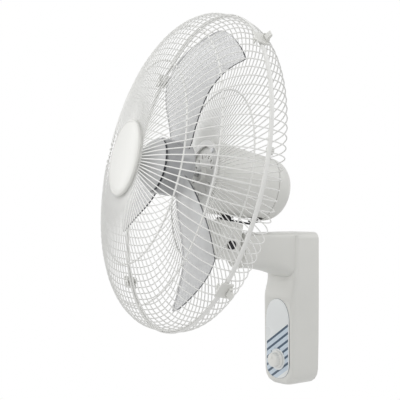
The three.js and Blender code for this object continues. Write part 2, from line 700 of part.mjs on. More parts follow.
// Single-start worm on the motor shaft: a closed grid over angle and length whose radius
// rises where the helix passes. Its space faces the wheel at GEAR_Y.
function wormBody() {
  const around = 12;
  const along = 30;
  const root = WORM_RADIUS + 0.2;
  const rise = 1.4;
  const rings = [];
  for (let j = 0; j <= along; j += 1) {
    const y = GEAR_Y - WORM_LENGTH / 2 + (j / along) * WORM_LENGTH;
    const ring = [];
    for (let i = 0; i < around; i += 1) {
      const a = (i / around) * Math.PI * 2;
      const phase = (y - GEAR_Y) / WORM_LEAD - (a - Math.PI / 2) / (2 * Math.PI) - 0.5;
      const away = Math.abs(phase - Math.round(phase));
      const ends = j === 0 || j === along ? 0 : 1;
      const height = rise * ends * (1 - smoothStep(away, 0.1, 0.24));
      const radius = root + height;
      ring.push(new THREE.Vector3(radius * Math.sin(a), y, AXIS_HEIGHT + radius * Math.cos(a)));
    }
    rings.push(ring);
  }
  return loft(rings);
}

const CASE_X0 = -20;
const CASE_X1 = WHEEL_X + WHEEL_RADIUS + 4;
const CASE_Y0 = GEAR_Y - WHEEL_RADIUS - 4;
const CASE_Y1 = GEAR_Y + WHEEL_RADIUS + 4;
const CASE_FLOOR = PINION_TOP - PINION_FACE - 3.4;
const CASE_TOP = AXIS_HEIGHT + 11;
const CASE_WALL = 2;

function buildGearbox(head) {
  const floor = [CASE_FLOOR - 1, CASE_FLOOR + CASE_WALL + 1];
  const shell = cut(
    box(CASE_X0, CASE_X1, CASE_Y0, CASE_Y1, CASE_FLOOR, CASE_TOP),
    box(CASE_X0 + CASE_WALL, CASE_X1 - CASE_WALL, CASE_Y0 + CASE_WALL, CASE_Y1 - CASE_WALL,
      CASE_FLOOR + CASE_WALL, CASE_TOP + 1),
    rodY(SHAFT / 2 + RUNNING_GAP, CASE_Y0 - 1, CASE_Y0 + CASE_WALL + 1, 0, AXIS_HEIGHT, 16),
    rodZ(CRANK_SHAFT + GAP, ...floor, 0, GEAR_Y, 16),
    rodZ(CLUTCH_SPINDLE + GAP, ...floor, WHEEL_X, GEAR_Y, 12),
  );
  piece(head, 'gearbox_case', shell, STEEL);
  const lid = cut(
    box(CASE_X0, CASE_X1, CASE_Y0, CASE_Y1, CASE_TOP + GAP, CASE_TOP + GAP + CASE_WALL),
    rodZ(CLUTCH_SPINDLE + GAP, CASE_TOP - 1, CASE_TOP + 5, WHEEL_X, GEAR_Y, 12),
  );
  piece(head, 'gearbox_lid', lid, STEEL);
}

function buildWormWheel(wheel) {
  const bottom = AXIS_HEIGHT - WHEEL_FACE / 2;
  const top = bottom + WHEEL_FACE;
  const compound = cut(
    join(
      gear(WHEEL_TEETH, Math.PI, WHEEL_X, GEAR_Y, bottom, top),
      rodZ(PINION_RADIUS - 1.4, PINION_TOP - 0.5, bottom + 0.5, WHEEL_X, GEAR_Y, 12),
      gear(PINION_TEETH, Math.PI, WHEEL_X, GEAR_Y, PINION_TOP - PINION_FACE, PINION_TOP),
    ),
    rodZ(CLUTCH_SPINDLE + GAP, PINION_TOP - PINION_FACE - 1, top + 1, WHEEL_X, GEAR_Y, 10),
  );
  piece(wheel, 'worm_wheel', compound, CREAM);
}

function buildClutch(knob) {
  const spindleTop = KNOB_BASE + OSC_KNOB_HEIGHT - 3;
  const spindle = rodZ(CLUTCH_SPINDLE, CASE_FLOOR - 2, spindleTop, WHEEL_X, GEAR_Y, 10);
  piece(knob, 'clutch_spindle', spindle, STEEL);
  const bore = CLUTCH_SPINDLE + GAP;
  const foot = OSC_KNOB_RADIUS - 1.5;
  const top = KNOB_BASE + OSC_KNOB_HEIGHT;
  const cap = turnedZ([
    [bore, KNOB_BASE], [foot, KNOB_BASE], [foot, KNOB_BASE + 3], [OSC_KNOB_RADIUS, KNOB_BASE + 5],
    [OSC_KNOB_RADIUS, top - 1.5], [foot, top], [0, top], [0, spindleTop + GAP], [bore, spindleTop + GAP],
    [bore, KNOB_BASE],
  ], 18, WHEEL_X, GEAR_Y);
  piece(knob, 'oscillation_knob', cap, OFF_WHITE);
}

function buildCrank(crank) {
  const top = PINION_TOP - 0.2;
  const crankGear = cut(
    gear(CRANK_TEETH, Math.PI / CRANK_TEETH, 0, GEAR_Y, top - PINION_FACE, top),
    rodZ(CRANK_SHAFT + GAP, top - PINION_FACE - 1, top + 1, 0, GEAR_Y, 12),
  );
  piece(crank, 'crank_gear', crankGear, CREAM);
  const arm = new THREE.Shape();
  arm.absarc(0, 0, CRANK_EYE, -Math.PI / 2, Math.PI / 2, false);
  arm.absarc(-CRANK_ARM, 0, CRANK_END, Math.PI / 2, Math.PI * 1.5, false);
  const disc = slabZ(arm, CRANK_DISC_Z, CRANK_DISC_Z + CRANK_DISC, 6)
    .rotate(0, 0, CRANK_ANGLE - 180)
    .translate(0, GEAR_Y, 0);
  const stub = rodZ(LINK_PIN, CRANK_DISC_Z - CRANK_STUB, CRANK_DISC_Z + 1, CRANK_PIN_X, CRANK_PIN_Y, 12);
  const shaft = rodZ(CRANK_SHAFT, CRANK_DISC_Z + 1, top, 0, GEAR_Y, 12);
  piece(crank, 'crank_arm', join(disc, stub, shaft), STEEL);
}

// The link lies in the neck's frame, from its lug pin to below the crank pin at rest.
function buildLink(parent) {
  const turn = THREE.MathUtils.degToRad(REST_SWIVEL);
  const tipX = CRANK_PIN_X * Math.cos(turn) - CRANK_PIN_Y * Math.sin(turn);
  const tipY = CRANK_PIN_X * Math.sin(turn) + CRANK_PIN_Y * Math.cos(turn);
  const length = Math.hypot(tipX - LUG_X, tipY);
  const heading = Math.atan2(tipY, tipX - LUG_X);
  const shape = new THREE.Shape();
  shape.absarc(0, 0, LINK_EYE, Math.PI / 2, Math.PI * 1.5, false);
  shape.absarc(length, 0, LINK_EYE, -Math.PI / 2, Math.PI / 2, false);
  const bar = cut(
    slabZ(shape, LINK_Z, LINK_Z + LINK_THICK, 7),
    rodZ(LINK_PIN + GAP, LINK_Z - 1, LINK_Z + LINK_THICK + 1, 0, 0, 12),
    rodZ(LINK_PIN + GAP, LINK_Z - 1, LINK_Z + LINK_THICK + 1, length, 0, 12),
  );
  const placed = bar.rotate(0, 0, THREE.MathUtils.radToDeg(heading)).translate(LUG_X, 0, 0);
  piece(parent, 'drive_link', placed, STEEL);
}

// ---------------------------------------------------------------- motor (head frame)

const FRONT_Y = RIM_Y + MOTOR_FRONT;         // front face of the motor
const FRONT_PLATE = 9;
const BARREL_Y0 = FRONT_Y + FRONT_PLATE + GAP;
const BARREL_Y1 = FRONT_Y + BARREL_LENGTH;
const BEARING_RADIUS = 8;
const BEARING_LENGTH = 10;
const BOSS_RADIUS = 13;
const BOSS_LENGTH = 8;
const STATOR_Y0 = FRONT_Y + 26;
const STATOR_Y1 = STATOR_Y0 + STATOR_LENGTH;
const WINDING_LENGTH = 10;
const SHIELD_Y = STATOR_Y1 + WINDING_LENGTH + 3;
const SHIELD_THICK = 5;
const VENTS = 12;

function alongAxis(body) {
  return body.translate(0, 0, AXIS_HEIGHT);
}

function ringOf(count, make, first = 0) {
  const bodies = [];
  for (let k = 0; k < count; k += 1) {
    bodies.push(make(k).rotate(0, first + (360 * k) / count, 0));
  }
  return bodies;
}

function barrelRadius(y) {
  return THREE.MathUtils.lerp(MOTOR_RADIUS, MOTOR_REAR_RADIUS, (y - FRONT_Y) / (BARREL_Y1 - FRONT_Y));
}

// Holes for the screws that hold the rear guard to the motor's front plate.
function guardScrewHoles(y0, y1) {
  return ringOf(GUARD_SCREWS, () => rodY(GUARD_SCREW + GAP, y0, y1, 0, GUARD_SCREW_R, 10), GUARD_SCREW_TURN);
}

function buildMotorCasing(head) {
  const back = FRONT_Y + FRONT_PLATE;
  const plate = turnedY([
    [SHAFT / 2 + 1, FRONT_Y - BOSS_LENGTH], [BOSS_RADIUS, FRONT_Y - BOSS_LENGTH], [BOSS_RADIUS, FRONT_Y],
    [MOTOR_RADIUS - 4, FRONT_Y], [MOTOR_RADIUS, FRONT_Y + 4], [MOTOR_RADIUS, back],
    [MOTOR_RADIUS - 4, back], [MOTOR_RADIUS - 6, FRONT_Y + 3], [BEARING_RADIUS + 4, FRONT_Y + 3],
    [BEARING_RADIUS + 4, FRONT_Y + 6], [BEARING_RADIUS + GAP, FRONT_Y + 6],
    [BEARING_RADIUS + GAP, FRONT_Y - BOSS_LENGTH + 2], [SHAFT / 2 + 1, FRONT_Y - BOSS_LENGTH + 2],
    [SHAFT / 2 + 1, FRONT_Y - BOSS_LENGTH],
  ], 32);
  const vents = ringOf(VENTS, () => box(-2.6, 2.6, FRONT_Y - 1, FRONT_Y + 4, 24, 39), 15);
  const screws = guardScrewHoles(FRONT_Y - 1, FRONT_Y + 8);
  piece(head, 'motor_front_plate', alongAxis(cut(plate, ...vents, ...screws)), OFF_WHITE);

  const inner = (y) => barrelRadius(y) - SHELL_WALL;
  const barrel = turnedY([
    [inner(BARREL_Y0), BARREL_Y0], [barrelRadius(BARREL_Y0), BARREL_Y0],
    [barrelRadius(BARREL_Y1), BARREL_Y1], [inner(BARREL_Y1), BARREL_Y1], [inner(BARREL_Y0), BARREL_Y0],
  ], 32);
  const knobHole = rodZ(CLUTCH_SPINDLE + 2, 20, 80, WHEEL_X, GEAR_Y, 12);
  const bossHole = rodZ(SWIVEL_BOSS + GAP, -80, -30, 0, 0, 20);
  const crankHole = rodZ(CRANK_ARM + CRANK_END + RUNNING_GAP, -80, -30, 0, GEAR_Y, 28);
  piece(head, 'motor_barrel', alongAxis(cut(barrel, knobHole, bossHole, crankHole)), OFF_WHITE);

  const y0 = BARREL_Y1 + GAP;
  const domeLine = (radius, depth) => [0, 1, 2, 3, 4, 5].map((k) => {
    const a = (k / 5) * Math.PI / 2;
    return [k === 5 ? 0 : radius * Math.cos(a) ** 0.8, y0 + depth * Math.sin(a)];
  });
  const outerLine = domeLine(MOTOR_REAR_RADIUS, DOME_DEPTH);
  const innerLine = domeLine(MOTOR_REAR_RADIUS - SHELL_WALL, DOME_DEPTH - SHELL_WALL);
  const dome = turnedY([...outerLine, ...innerLine.reverse(), outerLine[0]], 32);
  const slots = ringOf(8, () => box(-2, 2, y0 + 8, y0 + DOME_DEPTH + 2, 20, 36), 18);
  piece(head, 'motor_rear_cover', alongAxis(cut(dome, ...slots)), OFF_WHITE);
}

const SWIVEL_BOSS = SWIVEL_PIN / 2 + 5;

function buildSwivelBoss(head) {
  const inner = SWIVEL_PIN / 2 + GAP;
  const step = LINK_Z + LINK_THICK + RUNNING_GAP;       // slimmer below, beside the link
  const boss = turnedZ([
    [inner, BOSS_BASE], [inner + 1.8, BOSS_BASE], [inner + 1.8, step], [SWIVEL_BOSS, step],
    [SWIVEL_BOSS, BOSS_TOP], [inner, BOSS_TOP], [inner, BOSS_BASE],
  ], 24);
  piece(head, 'swivel_boss', boss, STEEL);
}

function buildMotorInside(head, rotor) {
  const stator = tubeY(ROTOR_RADIUS + 0.6, STATOR_RADIUS, STATOR_Y0, STATOR_Y1, 24);
  piece(head, 'stator_core', alongAxis(stator), STEEL);
  const coil = (y0, y1) => tubeY(ROTOR_RADIUS + 3, STATOR_RADIUS - 5, y0, y1, 24);
  piece(head, 'winding_front', alongAxis(coil(STATOR_Y0 - WINDING_LENGTH, STATOR_Y0 - GAP)), COPPER);
  piece(head, 'winding_rear', alongAxis(coil(STATOR_Y1 + GAP, STATOR_Y1 + WINDING_LENGTH)), COPPER);
  const bearing = (y0, y1) => tubeY(SHAFT / 2 + GAP, BEARING_RADIUS, y0, y1, 18);
  const frontBearing = FRONT_Y - BOSS_LENGTH + 2 + GAP;
  piece(head, 'front_bearing', alongAxis(bearing(frontBearing, frontBearing + BEARING_LENGTH)), BRASS);
  const shieldBack = SHIELD_Y + SHIELD_THICK;
  const shieldEdge = barrelRadius(shieldBack) - SHELL_WALL - GAP;
  const seat = BEARING_RADIUS + GAP;
  const collar = BEARING_RADIUS + 4;
  const shield = cut(
    turnedY([
      [seat, SHIELD_Y - 4], [collar, SHIELD_Y - 4], [collar, SHIELD_Y], [shieldEdge, SHIELD_Y],
      [shieldEdge, shieldBack], [seat, shieldBack], [seat, SHIELD_Y - 4],
    ], 32),
    ...ringOf(6, () => box(-6, 6, SHIELD_Y - 1, shieldBack + 1, 18, 38), 30),
  );
  piece(head, 'rear_end_shield', alongAxis(shield), STEEL);
  piece(head, 'rear_bearing', alongAxis(bearing(SHIELD_Y - 4, shieldBack)), BRASS);

  const core = tubeY(SHAFT / 2 + GAP, ROTOR_RADIUS, STATOR_Y0, STATOR_Y1, 20);
  piece(rotor, 'rotor_core', alongAxis(core), STEEL);
  const shaftRear = GEAR_Y - WORM_LENGTH / 2 - GAP;
  const shaftFront = RIM_Y - SPINNER_TIP + 14;
  piece(rotor, 'motor_shaft', alongAxis(rodY(SHAFT / 2, shaftFront, shaftRear, 0, 0, 14)), STEEL);
  piece(rotor, 'drive_worm', wormBody(), BRASS);
}

// ---------------------------------------------------------------- propeller (head frame)

const BLADE_THICK = 2.2;
const BLADE_STEPS_OUT = 9;
const BLADE_STEPS_ACROSS = 6;

// Where the blade's surface lies: u runs from the rear edge to the front edge, r outwards.
function bladePoint(u, r) {
  const rearAngle = 10 + 0.3 * Math.hypot(r - 75, 25);
  const span = 20 - 4 * smoothStep(r, 150, BLADE_TIP);
  const angle = THREE.MathUtils.degToRad(BLADE_PHASE + rearAngle - span * u);
  const rear = HUB_BACK + 2 - 16 * smoothStep(r, HUB_RADIUS, 150);
  const front = HUB_FRONT - 3 + 4 * smoothStep(r, 60, 110) - 12 * smoothStep(r, 140, BLADE_TIP);
  const camber = 5 * Math.sin(Math.PI * u);
  const ahead = THREE.MathUtils.lerp(rear, front, u) + camber;
  return new THREE.Vector3(r * Math.sin(angle), RIM_Y - ahead, r * Math.cos(angle));
}

function bladeBody() {
  const root = HUB_RADIUS - 3.5;
  const rings = [];
  for (let k = 0; k <= BLADE_STEPS_OUT; k += 1) {
    const v = k / BLADE_STEPS_OUT;
    const upper = [];
    const lower = [];
    for (let i = 0; i <= BLADE_STEPS_ACROSS; i += 1) {
      const u = i / BLADE_STEPS_ACROSS;
      const tip = BLADE_TIP - 16 * (2 * Math.abs(u - 0.45)) ** 3;
      const r = THREE.MathUtils.lerp(root, tip, v);
      const here = bladePoint(u, r);
      const across = bladePoint(u + 0.01, r).sub(bladePoint(u - 0.01, r));
      const outward = bladePoint(u, r + 0.5).sub(bladePoint(u, r - 0.5));
      const normal = across.cross(outward).normalize().multiplyScalar(BLADE_THICK / 2);
      upper.push(here.clone().add(normal));
      lower.push(here.clone().sub(normal));
    }
    rings.push([...upper, ...lower.reverse()]);
  }
  return loft(rings);
}

function buildPropeller(rotor) {
  const front = RIM_Y - HUB_FRONT;
  const back = RIM_Y - HUB_BACK;
  const bore = SHAFT / 2 + GAP;
  const boss = 10;
  const hub = turnedY([
    [bore, back - 6], [boss, back - 6], [boss, front + HUB_WALL + 1],
    [HUB_RADIUS - HUB_WALL - 2, front + HUB_WALL], [HUB_RADIUS - HUB_WALL - 3, back],
    [HUB_RADIUS - 3, back], [HUB_RADIUS - 1, front + 3],
    [HUB_RADIUS - 3, front], [bore, front], [bore, back - 6],
  ], 36);
  const blades = ringOf(BLADES, () => bladeBody());
  const ribs = ringOf(6, () => box(-1.2, 1.2, front + 1, back - 8, boss - 1, HUB_RADIUS - HUB_WALL - 2), 10);
  const clear = rodY(HUB_RADIUS - HUB_WALL - 2.4, front + HUB_WALL + 0.6, back + 20, 0, 0, 36)
    .subtract(rodY(boss - 0.2, front, back + 30, 0, 0, 20));
  const trimmed = blades.map((blade) => blade.subtract(clear));
  piece(rotor, 'propeller', alongAxis(join(hub, ...trimmed, ...ribs)), SMOKE);

  const seat = front - GAP;
  const tip = RIM_Y - SPINNER_TIP;
  const wall = 2.2;
  const cap = turnedY([
    [HUB_RADIUS - 4, seat], [HUB_RADIUS - 3.4, seat - 3], [32, tip + 12], [20, tip + 4], [9, tip + 0.8],
    [0, tip], [0, tip + 6], [8, tip + 7], [8, seat - 3], [12, seat - 3], [18, tip + 4 + wall],
    [30, tip + 12 + wall], [HUB_RADIUS - 4 - wall, seat], [HUB_RADIUS - 4, seat],
  ], 24);
  const nutBore = rodY(SHAFT / 2 + GAP, RIM_Y - SPINNER_TIP + 13.5, seat + 1, 0, 0, 14);
  piece(rotor, 'blade_cap', alongAxis(cut(cap, nutBore)), SMOKE);
}

// ---------------------------------------------------------------- cage (head frame)

const GUARD_SCREWS = 3;
const GUARD_SCREW = 1.8;
const GUARD_SCREW_R = 50.5;
const GUARD_SCREW_TURN = 45;     // degrees, the first screw's place round the axis
const EDGE_R = CAGE_RADIUS - BAND_THICK - GAP - EDGE_WIRE / 2;
const EDGE_AHEAD = EDGE_WIRE / 2 + GAP / 2;
const WIRE_STEPS = 4;
const HUB_PLATE = 3.6;           // ring the wires meet at the middle of each guard

const FRONT_HUB_R = BADGE_RADIUS - 5;        // where the front wires end
const REAR_HUB_R = MOTOR_RADIUS - 4;

// A guard's wire from its edge ring to its hub ring, as [radius, distance from the rim plane].
// The points between are shares of the way out and of the guard's depth.
function guardLine(hub, hubAhead, depth, shares) {
  const between = shares.map(([out, ahead]) => [THREE.MathUtils.lerp(hub, EDGE_R, out), depth * ahead]);
  return [[EDGE_R, EDGE_AHEAD], ...between, [hub, hubAhead]];
}

const FRONT_LINE = guardLine(FRONT_HUB_R, FRONT_DEPTH - 1, FRONT_DEPTH, [
  [1.003, 0.14], [0.98, 0.292], [0.85, 0.557], [0.542, 0.792], [0.282, 0.925],
]);
const REAR_LINE = guardLine(REAR_HUB_R, MOTOR_FRONT - GAP - HUB_PLATE / 2, REAR_DEPTH, [
  [1.002, 0.273], [0.964, 0.636], [0.855, 0.909], [0.683, 1], [0.448, 0.864], [0.214, 0.636],
]);

function wirePath(line, sign) {
  const points = line.map(([r, ahead]) => new THREE.Vector3(0, RIM_Y + sign * ahead, r));
  return new THREE.CatmullRomCurve3(points, false, 'centripetal');
}

function guardWire(line, sign) {
  const extrudePath = wirePath(line, sign);
  const section = new THREE.Shape();
  const radius = WIRE * 0.55;
  for (let k = 0; k < 3; k += 1) {
    const a = (k / 3) * Math.PI * 2;
    if (k === 0) section.moveTo(radius * Math.cos(a), radius * Math.sin(a));
    else section.lineTo(radius * Math.cos(a), radius * Math.sin(a));
  }
  return solid(new THREE.ExtrudeGeometry(section, { steps: WIRE_STEPS, bevelEnabled: false, extrudePath }));
}

function wireRing(radius, y, thickness, segments = 48, sides = 5) {
  const geometry = new THREE.TorusGeometry(radius, thickness / 2, sides, segments).rotateX(Math.PI / 2);
  return solid(geometry.translate(0, y, 0));
}

// A ring that lies inside the wires where they cross the given radius.
function supportRing(line, sign, radius) {
  const runs = wirePath(line, sign).getSpacedPoints(WIRE_STEPS);
  const k = runs.findIndex((point) => point.z < radius);
  const [outer, inner] = [runs[k - 1], runs[k]];
  const along = inner.clone().sub(outer);
  const crossing = outer.clone().addScaledVector(along, (radius - outer.z) / along.z);
  const inward = new THREE.Vector3(0, -sign * Math.abs(along.z), -Math.abs(along.y)).normalize();
  const seat = crossing.addScaledVector(inward, (WIRE + RING_WIRE) / 2 + RING_GAP);
  return wireRing(seat.z, seat.y, RING_WIRE);
}

function guardBody(line, sign, centre) {
  const wires = ringOf(CAGE_WIRES, () => guardWire(line, sign), 180 / CAGE_WIRES);
  const edge = wireRing(EDGE_R, RIM_Y + sign * EDGE_AHEAD, EDGE_WIRE, CAGE_WIRES / 2, 6);
  return join(edge, centre, ...wires);
}

function buildCage(head) {
  const plateY = RIM_Y - FRONT_DEPTH;
  const frontHub = tubeY(BADGE_RADIUS - 18, BADGE_RADIUS - 3, plateY, plateY + HUB_PLATE, 40);
  piece(head, 'front_guard', alongAxis(guardBody(FRONT_LINE, -1, frontHub)), WIRE_WHITE);
  const seat = FRONT_Y - GAP;
  const rearHub = cut(
    tubeY(GUARD_SCREW_R - 5, MOTOR_RADIUS - 2, seat - HUB_PLATE, seat, 40),
    ...guardScrewHoles(seat - 5, seat + 2),
  );
  piece(head, 'rear_guard', alongAxis(guardBody(REAR_LINE, 1, rearHub)), WIRE_WHITE);
  ringOf(GUARD_SCREWS, () => turnedY([
    [0, seat - 6.4], [3, seat - 6.4], [3.8, seat - HUB_PLATE - GAP], [GUARD_SCREW, seat - HUB_PLATE - GAP],
    [GUARD_SCREW, FRONT_Y + 7], [0, FRONT_Y + 7],
  ], 10, 0, GUARD_SCREW_R), GUARD_SCREW_TURN).forEach((screw, k) => {
    piece(head, `guard_screw_${k + 1}`, alongAxis(screw), STEEL);
  });

  const outerRing = supportRing(FRONT_LINE, -1, CAGE_RADIUS - OUTER_RING_IN);
  piece(head, 'front_ring_outer', alongAxis(outerRing), WIRE_WHITE);
  piece(head, 'front_ring_inner', alongAxis(supportRing(FRONT_LINE, -1, INNER_RING_R)), WIRE_WHITE);
  piece(head, 'rear_ring', alongAxis(supportRing(REAR_LINE, 1, REAR_RING_R)), WIRE_WHITE);

  const bandHalf = BAND_WIDTH / 2;
  const band = tubeY(CAGE_RADIUS - BAND_THICK, CAGE_RADIUS, RIM_Y - bandHalf, RIM_Y + bandHalf, 72);
  piece(head, 'rim_band', alongAxis(band), WIRE_WHITE);

  const back = plateY - GAP;
  const badge = turnedY([
    [0, back], [BADGE_RADIUS - 2, back], [BADGE_RADIUS, back - 2], [BADGE_RADIUS - 0.6, back - 4],
    [BADGE_RADIUS - 3, back - 5.4], [BADGE_RADIUS * 0.5, back - BADGE_THICK + 0.4], [0, back - BADGE_THICK],
  ], 40);
  piece(head, 'centre_badge', alongAxis(badge), OFF_WHITE);
}

// ---------------------------------------------------------------- rim clips

const CLIP_HALF = 13;
const CLIP_SEAT = CAGE_RADIUS + GAP;
const CLIP_THICK = 2.2;
const CLIP_HALF_WIDTH = BAND_WIDTH / 2 + 2.6;
const LEVER_PIN_Z = CLIP_SEAT + CLIP_THICK + 2.4;
const LEVER_PIN_Y = RIM_Y + CLIP_HALF_WIDTH - 2.5;

function clipBody() {
  const front = RIM_Y - CLIP_HALF_WIDTH;
  const rear = RIM_Y + CLIP_HALF_WIDTH;
  const pad = box(-CLIP_HALF, CLIP_HALF, front, rear, CLIP_SEAT, CLIP_SEAT + CLIP_THICK);
  const hook = (y0, y1) => box(-4, 4, y0, y1, CLIP_SEAT - 8, CLIP_SEAT + 1);
  const ear = (x0, x1) => (
    box(x0, x1, LEVER_PIN_Y - 2.4, LEVER_PIN_Y + 2.4, CLIP_SEAT + 1, LEVER_PIN_Z + 2.4)
  );
  const pin = rodX(1.2, -7.5, 7.5, LEVER_PIN_Y, LEVER_PIN_Z, 8);
  return join(pad, hook(front, front + 1.8), hook(rear - 1.8, rear), ear(-8, -6), ear(6, 8), pin);
}

function leverBody() {
  const shape = new THREE.Shape();
  shape.absarc(LEVER_PIN_Y, LEVER_PIN_Z, 2.2, Math.PI, Math.PI * 2, false);
  shape.lineTo(LEVER_PIN_Y + 4, LEVER_PIN_Z + 8);
  shape.lineTo(LEVER_PIN_Y + 2.4, LEVER_PIN_Z + 10);
  shape.lineTo(LEVER_PIN_Y - 2.2, LEVER_PIN_Z);
  return cut(slabX(shape, -5.6, 5.6, 6), rodX(1.2 + GAP, -7, 7, LEVER_PIN_Y, LEVER_PIN_Z, 8));
}

function buildClips(head, levers) {
  for (let k = 0; k < CLIP_COUNT; k += 1) {
    const turn = 45 + (360 * k) / CLIP_COUNT;
    piece(head, `rim_clip_${k + 1}`, alongAxis(clipBody().rotate(0, turn, 0)), OFF_WHITE);
    piece(levers, `clip_lever_${k + 1}`, alongAxis(leverBody().rotate(0, turn, 0)), OFF_WHITE);
  }
}

// ---------------------------------------------------------------- assembly

const fan = new THREE.Group();
buildHousing(fan);
buildWallPlate(fan);
buildBackCover(fan);
buildSpeedControl(fan);
buildElectrics(fan);
buildInlet(fan);

const pivot = new THREE.Group();
pivot.position.set(0, -ARM_REACH, TILT_Z);
fan.add(pivot);
buildTiltJoint(pivot);

const neck = new THREE.Group();
neck.rotation.x = THREE.MathUtils.degToRad(REST_TILT);
pivot.add(neck);
buildNeck(neck);
buildLink(neck);

const head = new THREE.Group();
head.rotation.z = THREE.MathUtils.degToRad(REST_SWIVEL);
neck.add(head);
buildSwivelBoss(head);
buildMotorCasing(head);
const rotor = new THREE.Group();
head.add(rotor);
buildMotorInside(head, rotor);
buildGearbox(head);
buildWormWheel(head);
buildClutch(head);
buildCrank(head);
buildPropeller(rotor);
buildCage(head);
buildClips(head, head);

export default fan;
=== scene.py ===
"""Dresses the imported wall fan: round wires, a smooth propeller and motor, mouldings and prints.

Every piece is in metres in the part's own frame: +Z up, the wall at y = 0, the fan facing -Y.
The head's pieces are modelled about the head's axis (HEAD maps them into the frame).
"""
import json
import logging
import math
from dataclasses import dataclass
from enum import Enum

import bpy
from mathutils import Matrix, Vector


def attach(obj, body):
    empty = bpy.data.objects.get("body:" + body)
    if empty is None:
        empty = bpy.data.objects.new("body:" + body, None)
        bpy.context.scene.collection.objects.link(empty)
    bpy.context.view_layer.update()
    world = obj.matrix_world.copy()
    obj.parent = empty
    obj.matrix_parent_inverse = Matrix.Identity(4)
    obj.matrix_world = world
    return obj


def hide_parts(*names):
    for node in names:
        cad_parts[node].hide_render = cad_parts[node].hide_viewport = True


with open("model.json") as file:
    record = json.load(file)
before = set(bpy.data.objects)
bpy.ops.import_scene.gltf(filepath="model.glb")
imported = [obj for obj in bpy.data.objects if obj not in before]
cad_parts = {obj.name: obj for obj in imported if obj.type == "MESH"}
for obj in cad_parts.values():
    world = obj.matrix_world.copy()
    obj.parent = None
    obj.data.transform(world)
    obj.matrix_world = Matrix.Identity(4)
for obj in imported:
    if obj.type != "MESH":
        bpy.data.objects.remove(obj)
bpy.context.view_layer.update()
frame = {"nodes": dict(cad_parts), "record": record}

LOG = logging.getLogger("wall_fan")

MM = 0.001
TILT_POINT = Vector((0.0, -0.177, 0.108))
REST_TILT = math.radians(-11)
REST_SWIVEL = math.radians(-13)
AXIS_HEIGHT = 0.101
RIM = -0.075
NECK = Matrix.Translation(TILT_POINT) @ Matrix.Rotation(REST_TILT, 4, "X")
SWIVEL = NECK @ Matrix.Rotation(REST_SWIVEL, 4, "Z")
HEAD = SWIVEL @ Matrix.Translation((0.0, 0.0, AXIS_HEIGHT))
ALONG_Y = Matrix.Rotation(math.radians(90), 4, "X")


# ---------------------------------------------------------------- modelling helpers


def deselect() -> None:
    """Leaves object mode's selection empty."""
    if bpy.context.mode != "OBJECT":
        bpy.ops.object.mode_set(mode="OBJECT")
    bpy.ops.object.select_all(action="DESELECT")


def only(piece: bpy.types.Object) -> None:
    """Makes one object the selected and active one."""
    deselect()
    piece.select_set(True)
    bpy.context.view_layer.objects.active = piece


def named(name: str) -> bpy.types.Object:
    """Names the active object and its mesh."""
    piece = bpy.context.object
    piece.name = name
    piece.data.name = name
    return piece


def settle(piece: bpy.types.Object, place: Matrix = Matrix.Identity(4)) -> bpy.types.Object:
    """Bakes an object's own place, and then `place`, into its mesh.

    Args:
        piece: The mesh object.
        place: A further move, in metres.

    Returns:
        The same object, standing at the origin.
    """
    piece.data.transform(place @ piece.matrix_basis)
    piece.matrix_basis = Matrix.Identity(4)
    piece.data.update()
    return piece


def tidy_normals(piece: bpy.types.Object, merge: float = 1e-5) -> None:
    """Merges doubles and points the faces outwards.

    Args:
        piece: The mesh object.
        merge: Distance under which vertices become one, in metres.
    """
    only(piece)
    bpy.ops.object.mode_set(mode="EDIT")
    bpy.ops.mesh.select_all(action="SELECT")
    bpy.ops.mesh.remove_doubles(threshold=merge)
    bpy.ops.mesh.normals_make_consistent(inside=False)
    bpy.ops.object.mode_set(mode="OBJECT")


def smooth(piece: bpy.types.Object, degrees: float = 35.0) -> bpy.types.Object:
    """Shades a piece smooth except across edges sharper than the angle."""
    only(piece)
    bpy.ops.object.shade_smooth_by_angle(angle=math.radians(degrees))
    return piece


def apply_modifier(piece: bpy.types.Object, kind: str, **settings: object) -> None:
    """Adds one modifier, sets it and applies it.

    Args:
        piece: The mesh object.
        kind: The modifier's type, such as BEVEL.
        **settings: The modifier's values.
    """
    only(piece)
    modifier = piece.modifiers.new(kind.title(), kind)
    for key, value in settings.items():
        setattr(modifier, key, value)
    bpy.ops.object.modifier_apply(modifier=modifier.name)


def join_into(name: str, pieces: list[bpy.types.Object]) -> bpy.types.Object:
    """Joins several meshes into one object.

    Args:
        name: The joined object's name.
        pieces: The mesh objects, the first of which is kept.

    Returns:
        The joined object.
    """
    deselect()
    for piece in pieces:
        piece.select_set(True)
    bpy.context.view_layer.objects.active = pieces[0]
    if len(pieces) > 1:
        bpy.ops.object.join()
    return named(name)


def copies_round(piece: bpy.types.Object, count: int, first: float = 0.0) -> list[bpy.types.Object]:
    """Copies a piece round the Y axis, each copy with its own mesh.

    Args:
        piece: The first one; it is turned by `first` itself.
        count: How many in all.
        first: Angle of the first, in degrees.

    Returns:
        All of them, settled.
    """
    made = []
    for k in range(count):
        turn = Matrix.Rotation(math.radians(first + 360.0 * k / count), 4, "Y")
        one = piece if k == count - 1 else piece.copy()
        if one is not piece:
            one.data = piece.data.copy()
            bpy.context.scene.collection.objects.link(one)
        one.data.transform(turn)
        made.append(one)
    return made


